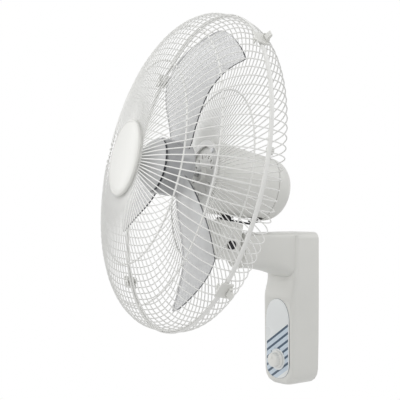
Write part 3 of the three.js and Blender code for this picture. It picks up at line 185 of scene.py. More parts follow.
def turned(name: str, stations: list[tuple[float, float]], segments: int = 96) -> bpy.types.Object:
    """Turns a profile about the Y axis by extruding and scaling a circle from station to station.

    Args:
        name: The piece's name.
        stations: (radius, y) in millimetres. A radius of 0 closes the surface at a point, and a
            last station equal to the first closes a ring.
        segments: Faces round the axis.

    Returns:
        The piece, about the Y axis through the origin.
    """
    deselect()
    tiny = 0.004
    radius, along = stations[0]
    radius = max(radius, tiny)
    bpy.ops.mesh.primitive_circle_add(vertices=segments, radius=radius * MM, location=(0, 0, 0))
    piece = named(name)
    bpy.ops.object.mode_set(mode="EDIT")
    bpy.ops.mesh.select_all(action="SELECT")
    bpy.ops.transform.translate(value=(0, 0, -along * MM))
    for next_radius, next_along in stations[1:]:
        next_radius = max(next_radius, tiny)
        step = (0, 0, (along - next_along) * MM)
        bpy.ops.mesh.extrude_region_move(TRANSFORM_OT_translate={"value": step})
        factor = next_radius / radius
        bpy.ops.transform.resize(value=(factor, factor, 1), center_override=(0, 0, -next_along * MM))
        radius, along = next_radius, next_along
    bpy.ops.object.mode_set(mode="OBJECT")
    settle(piece, ALONG_Y)
    tidy_normals(piece, merge=0.012 * MM)
    return piece


def spun_ring(name: str, radius: float, y: float, thickness: float, steps: int = 144) -> bpy.types.Object:
    """Bends a round wire into a ring about the Y axis.

    Args:
        name: The piece's name.
        radius: To the wire's middle, in millimetres.
        y: The ring's plane, in millimetres.
        thickness: The wire's diameter, in millimetres.
        steps: Faces round the ring.

    Returns:
        The ring.
    """
    deselect()
    bpy.ops.mesh.primitive_circle_add(vertices=10, radius=thickness / 2 * MM, location=(radius * MM, 0, 0),
                                      rotation=(math.radians(90), 0, 0))
    piece = named(name)
    settle(piece)
    bpy.ops.object.mode_set(mode="EDIT")
    bpy.ops.mesh.select_all(action="SELECT")
    bpy.ops.mesh.spin(steps=steps, angle=2 * math.pi, center=(0, 0, 0), axis=(0, 0, 1))
    bpy.ops.object.mode_set(mode="OBJECT")
    settle(piece, Matrix.Translation((0, y * MM, 0)) @ ALONG_Y)
    tidy_normals(piece)
    return smooth(piece, 60)


def bent_wire(name: str, points: list[tuple[float, float, float]], radius: float, sides: int = 1,
              fine: int = 4) -> bpy.types.Object:
    """Runs a round wire through points.

    Args:
        name: The piece's name.
        points: (x, y, z) in millimetres.
        radius: The wire's radius, in millimetres.
        sides: Curve's bevel resolution; the wire has 4 + 2 * sides faces round.
        fine: Steps between two points.

    Returns:
        The wire as a mesh with closed ends.
    """
    deselect()
    bpy.ops.curve.primitive_bezier_curve_add(location=(0, 0, 0))
    curve = bpy.context.object
    spline = curve.data.splines[0]
    spline.bezier_points.add(len(points) - 2)
    for knot, point in zip(spline.bezier_points, points):
        knot.co = Vector(point) * MM
        knot.handle_left_type = knot.handle_right_type = "AUTO"
    curve.data.resolution_u = fine
    curve.data.bevel_depth = radius * MM
    curve.data.bevel_resolution = sides
    curve.data.use_fill_caps = True
    bpy.ops.object.convert(target="MESH")
    piece = named(name)
    settle(piece)
    tidy_normals(piece)
    return smooth(piece, 60)


def block(name: str, low: tuple[float, float, float], high: tuple[float, float, float],
          edge: float = 0.0, segments: int = 3) -> bpy.types.Object:
    """A block between two corners, with its edges rounded in edit mode.

    Args:
        name: The piece's name.
        low: Lowest corner, in millimetres.
        high: Highest corner, in millimetres.
        edge: Radius of the edges, in millimetres.
        segments: Faces across each rounded edge.

    Returns:
        The block.
    """
    deselect()
    centre = [(a + b) / 2 * MM for a, b in zip(low, high)]
    bpy.ops.mesh.primitive_cube_add(size=1, location=centre)
    piece = named(name)
    piece.scale = [(b - a) * MM for a, b in zip(low, high)]
    settle(piece)
    if edge:
        bpy.ops.object.mode_set(mode="EDIT")
        bpy.ops.mesh.select_all(action="SELECT")
        bpy.ops.mesh.bevel(offset=edge * MM, segments=segments, affect="EDGES")
        bpy.ops.object.mode_set(mode="OBJECT")
    return piece


def cut_away(piece: bpy.types.Object, tools: list[bpy.types.Object]) -> bpy.types.Object:
    """Cuts tools out of a piece and deletes them.

    Args:
        piece: The closed mesh that is cut.
        tools: Closed meshes.

    Returns:
        The piece.
    """
    tool = join_into("cutter", tools)
    apply_modifier(piece, "BOOLEAN", object=tool, operation="DIFFERENCE", solver="EXACT")
    bpy.data.objects.remove(tool, do_unlink=True)
    return piece


# ---------------------------------------------------------------- material parts


Tint = tuple[float, float, float]


class Wiring:
    """Small wrapper round a node tree that adds and links nodes."""

    def __init__(self, tree: bpy.types.NodeTree) -> None:
        """Keeps the tree and empties it."""
        self.tree = tree
        tree.nodes.clear()

    def add(self, kind: str, **values: object) -> bpy.types.Node:
        """Adds a node.

        Args:
            kind: The node's type name.
            **values: Attributes of the node.

        Returns:
            The node.
        """
        node = self.tree.nodes.new(kind)
        for key, value in values.items():
            setattr(node, key, value)
        return node

    def feed(self, node: bpy.types.Node, socket: str | int, source: object) -> None:
        """Sets a socket to a value, or links it to another node's socket.

        Args:
            node: The node that takes it.
            socket: Its input, by name or number.
            source: A number, a colour, or an output socket.
        """
        if isinstance(source, bpy.types.NodeSocket):
            self.tree.links.new(source, node.inputs[socket])
        else:
            node.inputs[socket].default_value = source

    def noise(self, vector: bpy.types.NodeSocket, scale: float, detail: float = 4.0) -> bpy.types.NodeSocket:
        """A noise value over a vector."""
        node = self.add("ShaderNodeTexNoise")
        self.feed(node, "Vector", vector)
        self.feed(node, "Scale", scale)
        self.feed(node, "Detail", detail)
        return node.outputs["Fac"]

    def math(self, operation: str, *values: object, clamp: bool = False) -> bpy.types.NodeSocket:
        """One math node over one to three values."""
        node = self.add("ShaderNodeMath", operation=operation, use_clamp=clamp)
        for k, value in enumerate(values):
            self.feed(node, k, value)
        return node.outputs[0]

    def ranged(self, value: bpy.types.NodeSocket, low: float, high: float, out_low: float,
               out_high: float) -> bpy.types.NodeSocket:
        """Maps one range of a value to another, clamped."""
        node = self.add("ShaderNodeMapRange")
        for k, number in enumerate((value, low, high, out_low, out_high)):
            self.feed(node, k, number)
        return node.outputs[0]

    def bump(self, strength: float, distance: float, height: bpy.types.NodeSocket) -> bpy.types.NodeSocket:
        """A normal raised by a height."""
        node = self.add("ShaderNodeBump")
        self.feed(node, "Strength", strength)
        self.feed(node, "Distance", distance)
        self.feed(node, "Height", height)
        return node.outputs[0]

    def mixed(self, factor: object, first: object, second: object) -> bpy.types.NodeSocket:
        """A colour between two."""
        node = self.add("ShaderNodeMix", data_type="RGBA")
        self.feed(node, 0, factor)
        self.feed(node, 6, first)
        self.feed(node, 7, second)
        return node.outputs[2]


def group_tree(name: str, inputs: dict[str, float], outputs: dict[str, str]) -> bpy.types.NodeTree:
    """An empty shader node group with its sockets.

    Args:
        name: The group's name.
        inputs: Float inputs and their defaults.
        outputs: Outputs and their socket types.

    Returns:
        The group's tree.
    """
    tree = bpy.data.node_groups.new(name, "ShaderNodeTree")
    for key, value in inputs.items():
        socket = tree.interface.new_socket(key, in_out="INPUT", socket_type="NodeSocketFloat")
        socket.default_value = value
    for key, kind in outputs.items():
        tree.interface.new_socket(key, in_out="OUTPUT", socket_type=kind)
    return tree


def moulded_skin() -> bpy.types.NodeTree:
    """The fine uneven skin of an injection moulding: a grain height and a slow tint mask."""
    tree = group_tree("moulded_skin", {"Grain": 900.0, "Drift": 14.0},
                      {"Height": "NodeSocketFloat", "Tint": "NodeSocketFloat", "Rough": "NodeSocketFloat"})
    wiring = Wiring(tree)
    takes = wiring.add("NodeGroupInput")
    gives = wiring.add("NodeGroupOutput")
    place = wiring.add("ShaderNodeTexCoord").outputs["Object"]
    grain = wiring.add("ShaderNodeTexNoise")
    wiring.feed(grain, "Vector", place)
    wiring.feed(grain, "Scale", takes.outputs["Grain"])
    wiring.feed(grain, "Detail", 3.0)
    drift = wiring.add("ShaderNodeTexNoise")
    wiring.feed(drift, "Vector", place)
    wiring.feed(drift, "Scale", takes.outputs["Drift"])
    wiring.feed(drift, "Detail", 2.0)
    wiring.feed(gives, "Height", grain.outputs["Fac"])
    wiring.feed(gives, "Tint", wiring.ranged(drift.outputs["Fac"], 0.35, 0.65, 0.0, 1.0))
    wiring.feed(gives, "Rough", wiring.ranged(drift.outputs["Fac"], 0.3, 0.7, -0.04, 0.04))
    return tree


def settled_dust() -> bpy.types.NodeTree:
    """A thin uneven film of dust on faces that look up."""
    tree = group_tree("settled_dust", {"Amount": 0.2}, {"Mask": "NodeSocketFloat"})
    wiring = Wiring(tree)
    takes = wiring.add("NodeGroupInput")
    gives = wiring.add("NodeGroupOutput")
    normal = wiring.add("ShaderNodeNewGeometry").outputs["Normal"]
    apart = wiring.add("ShaderNodeSeparateXYZ")
    wiring.feed(apart, 0, normal)
    upward = wiring.ranged(apart.outputs["Z"], 0.3, 1.0, 0.0, 1.0)
    place = wiring.add("ShaderNodeTexCoord").outputs["Object"]
    patches = wiring.ranged(wiring.noise(place, 60.0), 0.35, 0.7, 0.3, 1.0)
    film = wiring.math("MULTIPLY", upward, patches)
    wiring.feed(gives, "Mask", wiring.math("MULTIPLY", film, takes.outputs["Amount"], clamp=True))
    return tree


def brushed_lines() -> bpy.types.NodeTree:
    """Fine drawn or brushed lines along one axis."""
    tree = group_tree("brushed_lines", {"Fineness": 700.0},
                      {"Height": "NodeSocketFloat", "Mask": "NodeSocketFloat"})
    wiring = Wiring(tree)
    takes = wiring.add("NodeGroupInput")
    gives = wiring.add("NodeGroupOutput")
    place = wiring.add("ShaderNodeTexCoord").outputs["Object"]
    stretch = wiring.add("ShaderNodeMapping")
    wiring.feed(stretch, "Vector", place)
    stretch.inputs["Scale"].default_value = (0.06, 1.0, 1.0)
    lines = wiring.add("ShaderNodeTexNoise")
    wiring.feed(lines, "Vector", stretch.outputs[0])
    wiring.feed(lines, "Scale", takes.outputs["Fineness"])
    wiring.feed(gives, "Height", lines.outputs["Fac"])
    wiring.feed(gives, "Mask", wiring.ranged(lines.outputs["Fac"], 0.4, 0.6, 0.0, 1.0))
    return tree


class Effect(Enum):
    """The shared surface effects."""

    SKIN = "moulded_skin"
    DUST = "settled_dust"
    LINES = "brushed_lines"


EFFECTS = {Effect.SKIN: moulded_skin(), Effect.DUST: settled_dust(), Effect.LINES: brushed_lines()}


def opaque(tint: Tint, alpha: float = 1.0) -> tuple[float, float, float, float]:
    """A colour with its alpha."""
    return (*tint, alpha)


def plain_surface(name: str) -> tuple[bpy.types.Material, Wiring, bpy.types.Node]:
    """A new material with its shader wired to its output.

    Args:
        name: The material's name.

    Returns:
        The material, its wiring and its shader.
    """
    material = bpy.data.materials.new(name)
    material.use_nodes = True
    wiring = Wiring(material.node_tree)
    shader = wiring.add("ShaderNodeBsdfPrincipled")
    result = wiring.add("ShaderNodeOutputMaterial")
    wiring.feed(result, "Surface", shader.outputs[0])
    return material, wiring, shader


@dataclass(frozen=True)
class Moulding:
    """A moulded plastic: colour, gloss, grain and a little settled dust."""

    name: str
    colour: Tint
    roughness: float = 0.4
    grain: float = 900.0
    bump: float = 0.05
    drift: float = 0.97
    dust: float = 0.15
    coat: float = 0.0
    alpha: float = 1.0

    def build(self) -> bpy.types.Material:
        """Builds the material."""
        material, wiring, shader = plain_surface(self.name)
        skin = wiring.add("ShaderNodeGroup", node_tree=EFFECTS[Effect.SKIN])
        wiring.feed(skin, "Grain", self.grain)
        film = wiring.add("ShaderNodeGroup", node_tree=EFFECTS[Effect.DUST])
        wiring.feed(film, "Amount", self.dust)
        darker = tuple(c * self.drift for c in self.colour)
        tint = wiring.mixed(skin.outputs["Tint"], opaque(self.colour), opaque(darker))
        dusty = tuple(c * 0.55 + 0.30 for c in self.colour)
        wiring.feed(shader, "Base Color", wiring.mixed(film.outputs["Mask"], tint, opaque(dusty)))
        rough = wiring.math("ADD", skin.outputs["Rough"], self.roughness)
        wiring.feed(shader, "Roughness", wiring.math("ADD", rough, film.outputs["Mask"], clamp=True))
        wiring.feed(shader, "Normal", wiring.bump(self.bump, 0.0004, skin.outputs["Height"]))
        shader.inputs["Coat Weight"].default_value = self.coat
        shader.inputs["Alpha"].default_value = self.alpha
        return material


@dataclass(frozen=True)
class Metal:
    """A bare metal with fine lines and uneven gloss."""

    name: str
    colour: Tint
    roughness: float = 0.35
    fineness: float = 700.0

    def build(self) -> bpy.types.Material:
        """Builds the material."""
        material, wiring, shader = plain_surface(self.name)
        lines = wiring.add("ShaderNodeGroup", node_tree=EFFECTS[Effect.LINES])
        wiring.feed(lines, "Fineness", self.fineness)
        duller = tuple(c * 0.85 for c in self.colour)
        wiring.feed(shader, "Base Color",
                    wiring.mixed(lines.outputs["Mask"], opaque(self.colour), opaque(duller)))
        skin = wiring.add("ShaderNodeGroup", node_tree=EFFECTS[Effect.SKIN])
        wiring.feed(shader, "Roughness", wiring.math("ADD", skin.outputs["Rough"], self.roughness))
        wiring.feed(shader, "Normal", wiring.bump(0.12, 0.0002, lines.outputs["Height"]))
        shader.inputs["Metallic"].default_value = 1.0
        return material


@dataclass(frozen=True)
class Winding:
    """Enamelled wire wound in close turns."""

    name: str
    colour: Tint

    def build(self) -> bpy.types.Material:
        """Builds the material."""
        material, wiring, shader = plain_surface(self.name)
        place = wiring.add("ShaderNodeTexCoord").outputs["Object"]
        turns = wiring.add("ShaderNodeTexWave", wave_type="RINGS")
        wiring.feed(turns, "Vector", place)
        wiring.feed(turns, "Scale", 220.0)
        wiring.feed(turns, "Distortion", 2.0)
        dark = tuple(c * 0.45 for c in self.colour)
        wiring.feed(shader, "Base Color",
                    wiring.mixed(turns.outputs["Fac"], opaque(dark), opaque(self.colour)))
        wiring.feed(shader, "Normal", wiring.bump(0.6, 0.0004, turns.outputs["Fac"]))
        shader.inputs["Metallic"].default_value = 0.8
        shader.inputs["Roughness"].default_value = 0.4
        return material


@dataclass(frozen=True)
class PrintedLabel:
    """The control label: pale plate, diagonal blue bands below, and a thin printed outline."""

    name: str = "label_print"
    ground: Tint = (0.80, 0.82, 0.82)
    band: Tint = (0.075, 0.115, 0.165)
    wash: Tint = (0.60, 0.68, 0.76)
    pitch: float = 0.0123
    slope: float = 0.655
    top: float = -0.0402
    share: float = 0.36
    knob_z: float = -0.084

    def build(self) -> bpy.types.Material:
        """Builds the material from the plate's own x and z."""
        material, wiring, shader = plain_surface(self.name)
        apart = wiring.add("ShaderNodeSeparateXYZ")
        wiring.feed(apart, 0, wiring.add("ShaderNodeTexCoord").outputs["Object"])
        x, z = apart.outputs["X"], apart.outputs["Z"]
        down = wiring.math("SUBTRACT", wiring.math("ADD", wiring.math("MULTIPLY", x, self.slope), self.top),
                           z)
        beat = wiring.math("FRACT", wiring.math("DIVIDE", down, self.pitch))
        bands = wiring.math("LESS_THAN", beat, self.share)
        below = wiring.math("GREATER_THAN", down, 0.0)
        ended = wiring.math("LESS_THAN", down, self.pitch * 6)
        height = wiring.math("SUBTRACT", z, self.knob_z)
        square = wiring.math("ADD", wiring.math("MULTIPLY", x, x), wiring.math("MULTIPLY", height, height))
        away = wiring.math("GREATER_THAN", square, 0.0175 ** 2)
        inside = wiring.math("LESS_THAN", wiring.math("ABSOLUTE", x), 0.0255)
        field = wiring.math("MULTIPLY", wiring.math("MULTIPLY", below, ended),
                            wiring.math("MULTIPLY", away, inside))
        wash = wiring.mixed(field, opaque(self.ground), opaque(self.wash))
        ink = wiring.math("MULTIPLY", field, bands)
        wiring.feed(shader, "Base Color", wiring.mixed(ink, wash, opaque(self.band)))
        skin = wiring.add("ShaderNodeGroup", node_tree=EFFECTS[Effect.SKIN])
        wiring.feed(shader, "Roughness", wiring.math("ADD", skin.outputs["Rough"], 0.3))
        return material


class Finish(Enum):
    """Every finish on the fan."""

    HOUSING = Moulding("housing_moulding", (0.72, 0.72, 0.69), roughness=0.38, coat=0.1)
    WIRE = Moulding("coated_wire", (0.82, 0.82, 0.80), roughness=0.34, grain=600, bump=0.08, dust=0.1)
    BLADE = Moulding("smoke_blade", (0.70, 0.705, 0.71), roughness=0.22, bump=0.02, dust=0.05, alpha=0.62)
    # Near-black rim finish: painted shade for the dark look of the translucent smoke plastic's edges.
    SMOKE_PAINTED_SHADE = Moulding("smoke_painted_shade_edge", (0.035, 0.037, 0.045), roughness=0.25, bump=0.0, dust=0.0)
    CAP = Moulding("smoke_cap", (0.78, 0.785, 0.79), roughness=0.18, bump=0.02, dust=0.05, alpha=0.8)
    HUB = Moulding("smoke_hub", (0.50, 0.505, 0.515), roughness=0.24, bump=0.02, dust=0.05, alpha=0.7)
    # Near-black steel for the joint parts under the motor: painted shade where the motor's shadow falls on
    # them.
    SHADE_BLACK = Metal("steel_painted_shade_black", (0.045, 0.045, 0.048), roughness=0.45)
    STEEL = Metal("plain_steel", (0.56, 0.57, 0.58))
    DARK = Moulding("dark_moulding", (0.03, 0.03, 0.032), roughness=0.55, bump=0.12, dust=0.05)
    WASHER = Moulding("rubber_washer", (0.02, 0.02, 0.02), roughness=0.8, bump=0.3, dust=0.1)
    COPPER = Winding("copper_winding", (0.55, 0.24, 0.11))
    CREAM = Moulding("pale_moulding", (0.80, 0.80, 0.77), roughness=0.32, coat=0.15)
    BEARING = Metal("bearing_bronze", (0.60, 0.42, 0.18), roughness=0.3)
    CAST = Metal("cast_alloy", (0.50, 0.51, 0.52), roughness=0.5, fineness=300)
    LABEL = PrintedLabel()
    INK = Moulding("dial_ink", (0.06, 0.09, 0.14), roughness=0.5, bump=0.0, dust=0.0)


MADE: dict[str, bpy.types.Material] = {}


def material_of(finish: Finish) -> bpy.types.Material:
    """The finish's material, built once."""
    if finish.name not in MADE:
        MADE[finish.name] = finish.value.build()
    return MADE[finish.name]


def dress(piece: bpy.types.Object, finish: Finish) -> bpy.types.Object:
    """Gives a piece one finish."""
    piece.data.materials.clear()
    piece.data.materials.append(material_of(finish))
    return piece


def fit_piece(piece: bpy.types.Object, finish: Finish, body: str, slot: str, *nodes: str) -> bpy.types.Object:
    """Dresses a finished piece, puts it on its body and hides the CAD nodes it stands for.

    Args:
        piece: The mesh object, already in the part's frame.
        finish: Its finish.
        body: The CAD body it rides on.
        slot: The record's material slot; not used.
        *nodes: The CAD nodes it replaces, if any.

    Returns:
        The piece.
    """
    if not piece.data.materials:
        dress(piece, finish)
    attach(piece, body)
    if nodes:
        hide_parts(*nodes)
    LOG.info("%s rides on %s with %d faces", piece.name, body, len(piece.data.polygons))
    return piece


# ---------------------------------------------------------------- cage


@dataclass
class Cage:
    """The two wire guards, their rings, the rim band and the badge."""

    wires: int = 100
    wire: float = 1.8
    edge_wire: float = 2.8
    ring_wire: float = 2.6
    edge_radius: float = 246.8
    edge_ahead: float = 1.5
    strap: float = 5.6
    badge_radius: float = 59.0
    front_depth: float = 106.0
    front_line: tuple = ((246.8, 1.5), (246.4, 15), (242, 31), (217, 58.2), (158, 82.8), (108, 97),
                         (54, 104.6))
    rear_line: tuple = ((246.8, 1.5), (246.2, 12), (239, 28), (218, 40), (185, 44), (140, 38), (95, 28),
                        (54, 20.5))
    body: str = "head"

    def guard(self, name: str, line: tuple, sign: int, hub: bpy.types.Object, *nodes: str) -> None:
        """One guard: its wires, edge ring and middle ring.

        Args:
            name: The piece's name.
            line: The wires' path as (radius, distance from the rim plane).
            sign: -1 in front of the rim plane, 1 behind it.
            hub: The middle ring.
            *nodes: The CAD nodes it replaces.
        """
        rim = RIM / MM
        points = [(0.0, rim + sign * ahead, radius) for radius, ahead in line]
        wire = bent_wire("one_wire", points, self.wire / 2, fine=3)
        wires = copies_round(wire, self.wires, 180 / self.wires)
        edge = spun_ring("edge", self.edge_radius, rim + sign * self.edge_ahead, self.edge_wire, 180)
        piece = join_into(name, [edge, hub, *wires])
        settle(piece, HEAD)
        fit_piece(smooth(piece, 50), Finish.WIRE, self.body, "wire", *nodes)

    def ring(self, name: str, radius: float, y: float) -> None:
        """One support ring that stands for the node of the same name."""
        piece = settle(spun_ring(name, radius, y, self.ring_wire), HEAD)
        fit_piece(piece, Finish.WIRE, self.body, "wire", name.replace("wired_", ""))

    def build(self) -> None:
        """Builds every piece of the cage."""
        rim = RIM / MM
        plate = rim - self.front_depth
        inner = self.badge_radius - 18
        outer = self.badge_radius - 3
        front_hub = turned("front_hub",
                           [(inner, plate), (outer, plate), (outer, plate + 3.6), (inner, plate + 3.6),
                                         (inner, plate)], 72)
        self.guard("wired_front_guard", self.front_line, -1, front_hub, "front_guard")
        seat = rim + 22.6 - 0.3
        rear_hub = turned("rear_hub", [(45.5, seat - 3.6), (56, seat - 3.6), (56, seat), (45.5, seat),
                                       (45.5, seat - 3.6)], 72)
        holes = turned("hole", [(0, seat - 6), (2.1, seat - 6), (2.1, seat + 3), (0, seat + 3)], 16)
        settle(holes, Matrix.Translation((0, 0, 50.5 * MM)))
        cut_away(rear_hub, copies_round(holes, 3, 45))
        self.guard("wired_rear_guard", self.rear_line, 1, rear_hub, "rear_guard")
        self.ring("wired_front_ring_outer", 215.9, rim - 56.5)
        self.ring("wired_front_ring_inner", 157.3, rim - 80.9)
        self.ring("wired_rear_ring", 140.3, rim + 36.0)
        self.band()
        self.badge()

    def band(self) -> None:
        """The rim strap: thin, with both edges rolled a little inwards."""
        rim = RIM / MM
        w = self.strap / 2
        strap = turned("rim_strap", [
            (248.4, rim - w + 0.5), (248.9, rim - w), (249.5, rim - w + 0.2), (250.0, rim - w + 1.1),
            (250.0, rim + w - 1.1), (249.5, rim + w - 0.2), (248.9, rim + w), (248.4, rim + w - 0.5),
            (248.4, rim - w + 0.5)], 180)
        settle(strap, HEAD)
        fit_piece(smooth(strap, 40), Finish.WIRE, self.body, "wire", "rim_band")

    def badge(self) -> None:
        """The crowned disc in the middle of the front guard, with a step round its edge."""
        back = RIM / MM - self.front_depth - 0.3
        r = self.badge_radius
        badge = turned("crowned_badge", [
            (0, back), (r - 2, back), (r - 0.4, back - 0.9), (r, back - 2.2), (r - 0.5, back - 3.6),
            (r - 1.6, back - 4.5), (r - 3.2, back - 4.9), (r - 3.7, back - 4.5), (r - 4.2, back - 4.6),
            (r - 5.5, back - 5.1), (r * 0.75, back - 5.9), (r * 0.5, back - 6.5), (r * 0.25, back - 6.9),
            (0, back - 7.0)], 128)
        settle(badge, HEAD)
        fit_piece(smooth(badge, 30), Finish.HOUSING, self.body, "housing", "centre_badge")


# ---------------------------------------------------------------- propeller


@dataclass
class Propeller:
    """Three swept smoke-coloured blades on a hollow hub, and the cap that holds them."""

    blades: int = 3
    tip: float = 223.5
    hub: float = 45.0
    front: float = 56.0
    back: float = 10.0
    cap_tip: float = 84.0
    thick: float = 2.6
    camber: float = 6.0
    front_corner: float = 9.0
    rear_corner: float = 3.0
    stations: tuple = (45, 75, 105, 135, 165, 195, 222)
    rear_turn: tuple = (44, 37, 33, 32.5, 36, 42.5, 48)
    front_turn: tuple = (-14, -16, -15, -12.5, -6.5, 2, 12)
    rear_ahead: tuple = (19, 21, 21, 19.5, 16, 14, 12)
    front_ahead: tuple = (34, 38, 45, 48, 42, 28, 10)
    body: str = "rotor"

    def surface(self, u: float, r: float) -> Vector:
        """A point of the blade's middle surface.

        Args:
            u: 0 at the rear edge, 1 at the front edge.
            r: Distance from the axis, in millimetres.

        Returns:
            The point in millimetres, about the head's axis.
        """
        rear_turn, front_turn, rear, front = (along(self.stations, line, r) for line in
                                              (self.rear_turn, self.front_turn, self.rear_ahead,
                                               self.front_ahead))
        angle = math.radians(rear_turn + (front_turn - rear_turn) * u)
        ahead = rear + (front - rear) * u + self.camber * math.sin(math.pi * u)
        return Vector((r * math.sin(angle), RIM / MM - ahead, r * math.cos(angle)))

    def blade(self) -> bpy.types.Object:
        """One blade, from a grid laid on its surface and thickened, its rim painted near-black as painted
        shade of the smoke plastic's edge.
        """
        deselect()
        across, out = 20, 40
        bpy.ops.mesh.primitive_grid_add(x_subdivisions=across, y_subdivisions=out, size=1)
        piece = named("blade")
        root = self.hub - 3.0
        for vertex in piece.data.vertices:
            u, v = vertex.co.x + 0.5, vertex.co.y + 0.5
            tip = self.tip - self.front_corner * u ** 6 - self.rear_corner * (1 - u) ** 8
            vertex.co = self.surface(u, root + (tip - root) * v) * MM
        piece.data.materials.append(material_of(Finish.BLADE))
        # The rim faces get the near-black finish: painted shade of the translucent edge.
        piece.data.materials.append(material_of(Finish.SMOKE_PAINTED_SHADE))
        apply_modifier(piece, "SOLIDIFY", thickness=self.thick * MM, offset=0.0, material_offset_rim=1)
        return piece

    def build(self) -> None:
        """Builds the blades with their hub, and the cap."""
        front, back = RIM / MM - self.front, RIM / MM - self.back
        r = self.hub
        cup = turned("blade_cup", [
            (4.3, back - 6), (10, back - 6), (10, front + 3.4), (r - 4.4, front + 2.4), (r - 5.2, front + 4),
            (r - 5.4, back - 1), (r - 5, back), (r - 3.4, back), (r - 3, back - 1), (r - 1.2, front + 4),
            (r - 1.4, front + 1.6), (r - 2.6, front + 0.4), (r - 4, front), (4.3, front), (4.3, back - 6)],
            96)
        dress(cup, Finish.HUB)
        ribs = block("rib", (-1.0, front + 1, 9), (1.0, back - 8, r - 4.6), 0.3, 1)
        # The hub ribs take the same near-black finish, as painted shade inside the smoke hub.
        dress(ribs, Finish.SMOKE_PAINTED_SHADE)
        all_ribs = copies_round(ribs, 6, 10)
        blades = copies_round(self.blade(), self.blades)
        piece = join_into("smoke_propeller", [cup, *all_ribs, *blades])
        settle(piece, HEAD)
        fit_piece(smooth(piece, 40), Finish.BLADE, self.body, "blade", "propeller")
        self.cap()

    def cap(self) -> None:
        """The domed cap over the hub, its lip painted near-black as painted shade, and its nut boss."""
        seat = RIM / MM - self.front - 0.3
        tip = RIM / MM - self.cap_tip
        r = self.hub
        shell = turned("smoke_cap", [
            (r - 6.4, seat), (r - 4.1, seat), (r - 3.5, seat - 1.5), (r - 3.7, seat - 3.0),
            (37.4, tip + 18.5),
            (32.5, tip + 12.2), (26.5, tip + 7.6), (20, tip + 4.2), (14.2, tip + 2.1), (8, tip + 0.8),
            (3, tip + 0.1), (0, tip), (0, tip + 6), (8, tip + 7), (8, tip + 13.6), (8, seat - 3),
            (12, seat - 3),
            (18, tip + 6.6), (30, tip + 14.6), (r - 6.4, seat)], 96)
        dress(shell, Finish.CAP)
        # The lip faces get the near-black finish: painted shade of the translucent edge.
        shell.data.materials.append(material_of(Finish.SMOKE_PAINTED_SHADE))
        for face in shell.data.polygons:
            middle = face.center
            if middle.y > (seat - 3.2) * MM and math.hypot(middle.x, middle.z) > 0.038:
                face.material_index = 1
        bore = turned("bore", [(0, tip + 13.5), (4.3, tip + 13.5), (4.3, seat + 2), (0, seat + 2)], 24)
        cut_away(shell, [bore])
        settle(shell, HEAD)
        fit_piece(smooth(shell, 35), Finish.CAP, self.body, "blade", "blade_cap")


def along(stations: tuple, values: tuple, r: float) -> float:
    """A smooth value between stations.

    Args:
        stations: Rising distances.
        values: One value for each.
        r: Where it is wanted.

    Returns:
        The value on the cubic through its four neighbours.
    """
    last = len(stations) - 1
    k = max(0, min(last - 1, sum(1 for s in stations[1:-1] if r > s)))
    t = (r - stations[k]) / (stations[k + 1] - stations[k])
    a, b, c, d = (values[max(0, min(last, n))] for n in (k - 1, k, k + 1, k + 2))
    return b + 0.5 * t * (c - a + t * (2 * a - 5 * b + 4 * c - d + t * (3 * (b - c) + d - a)))


# ---------------------------------------------------------------- motor


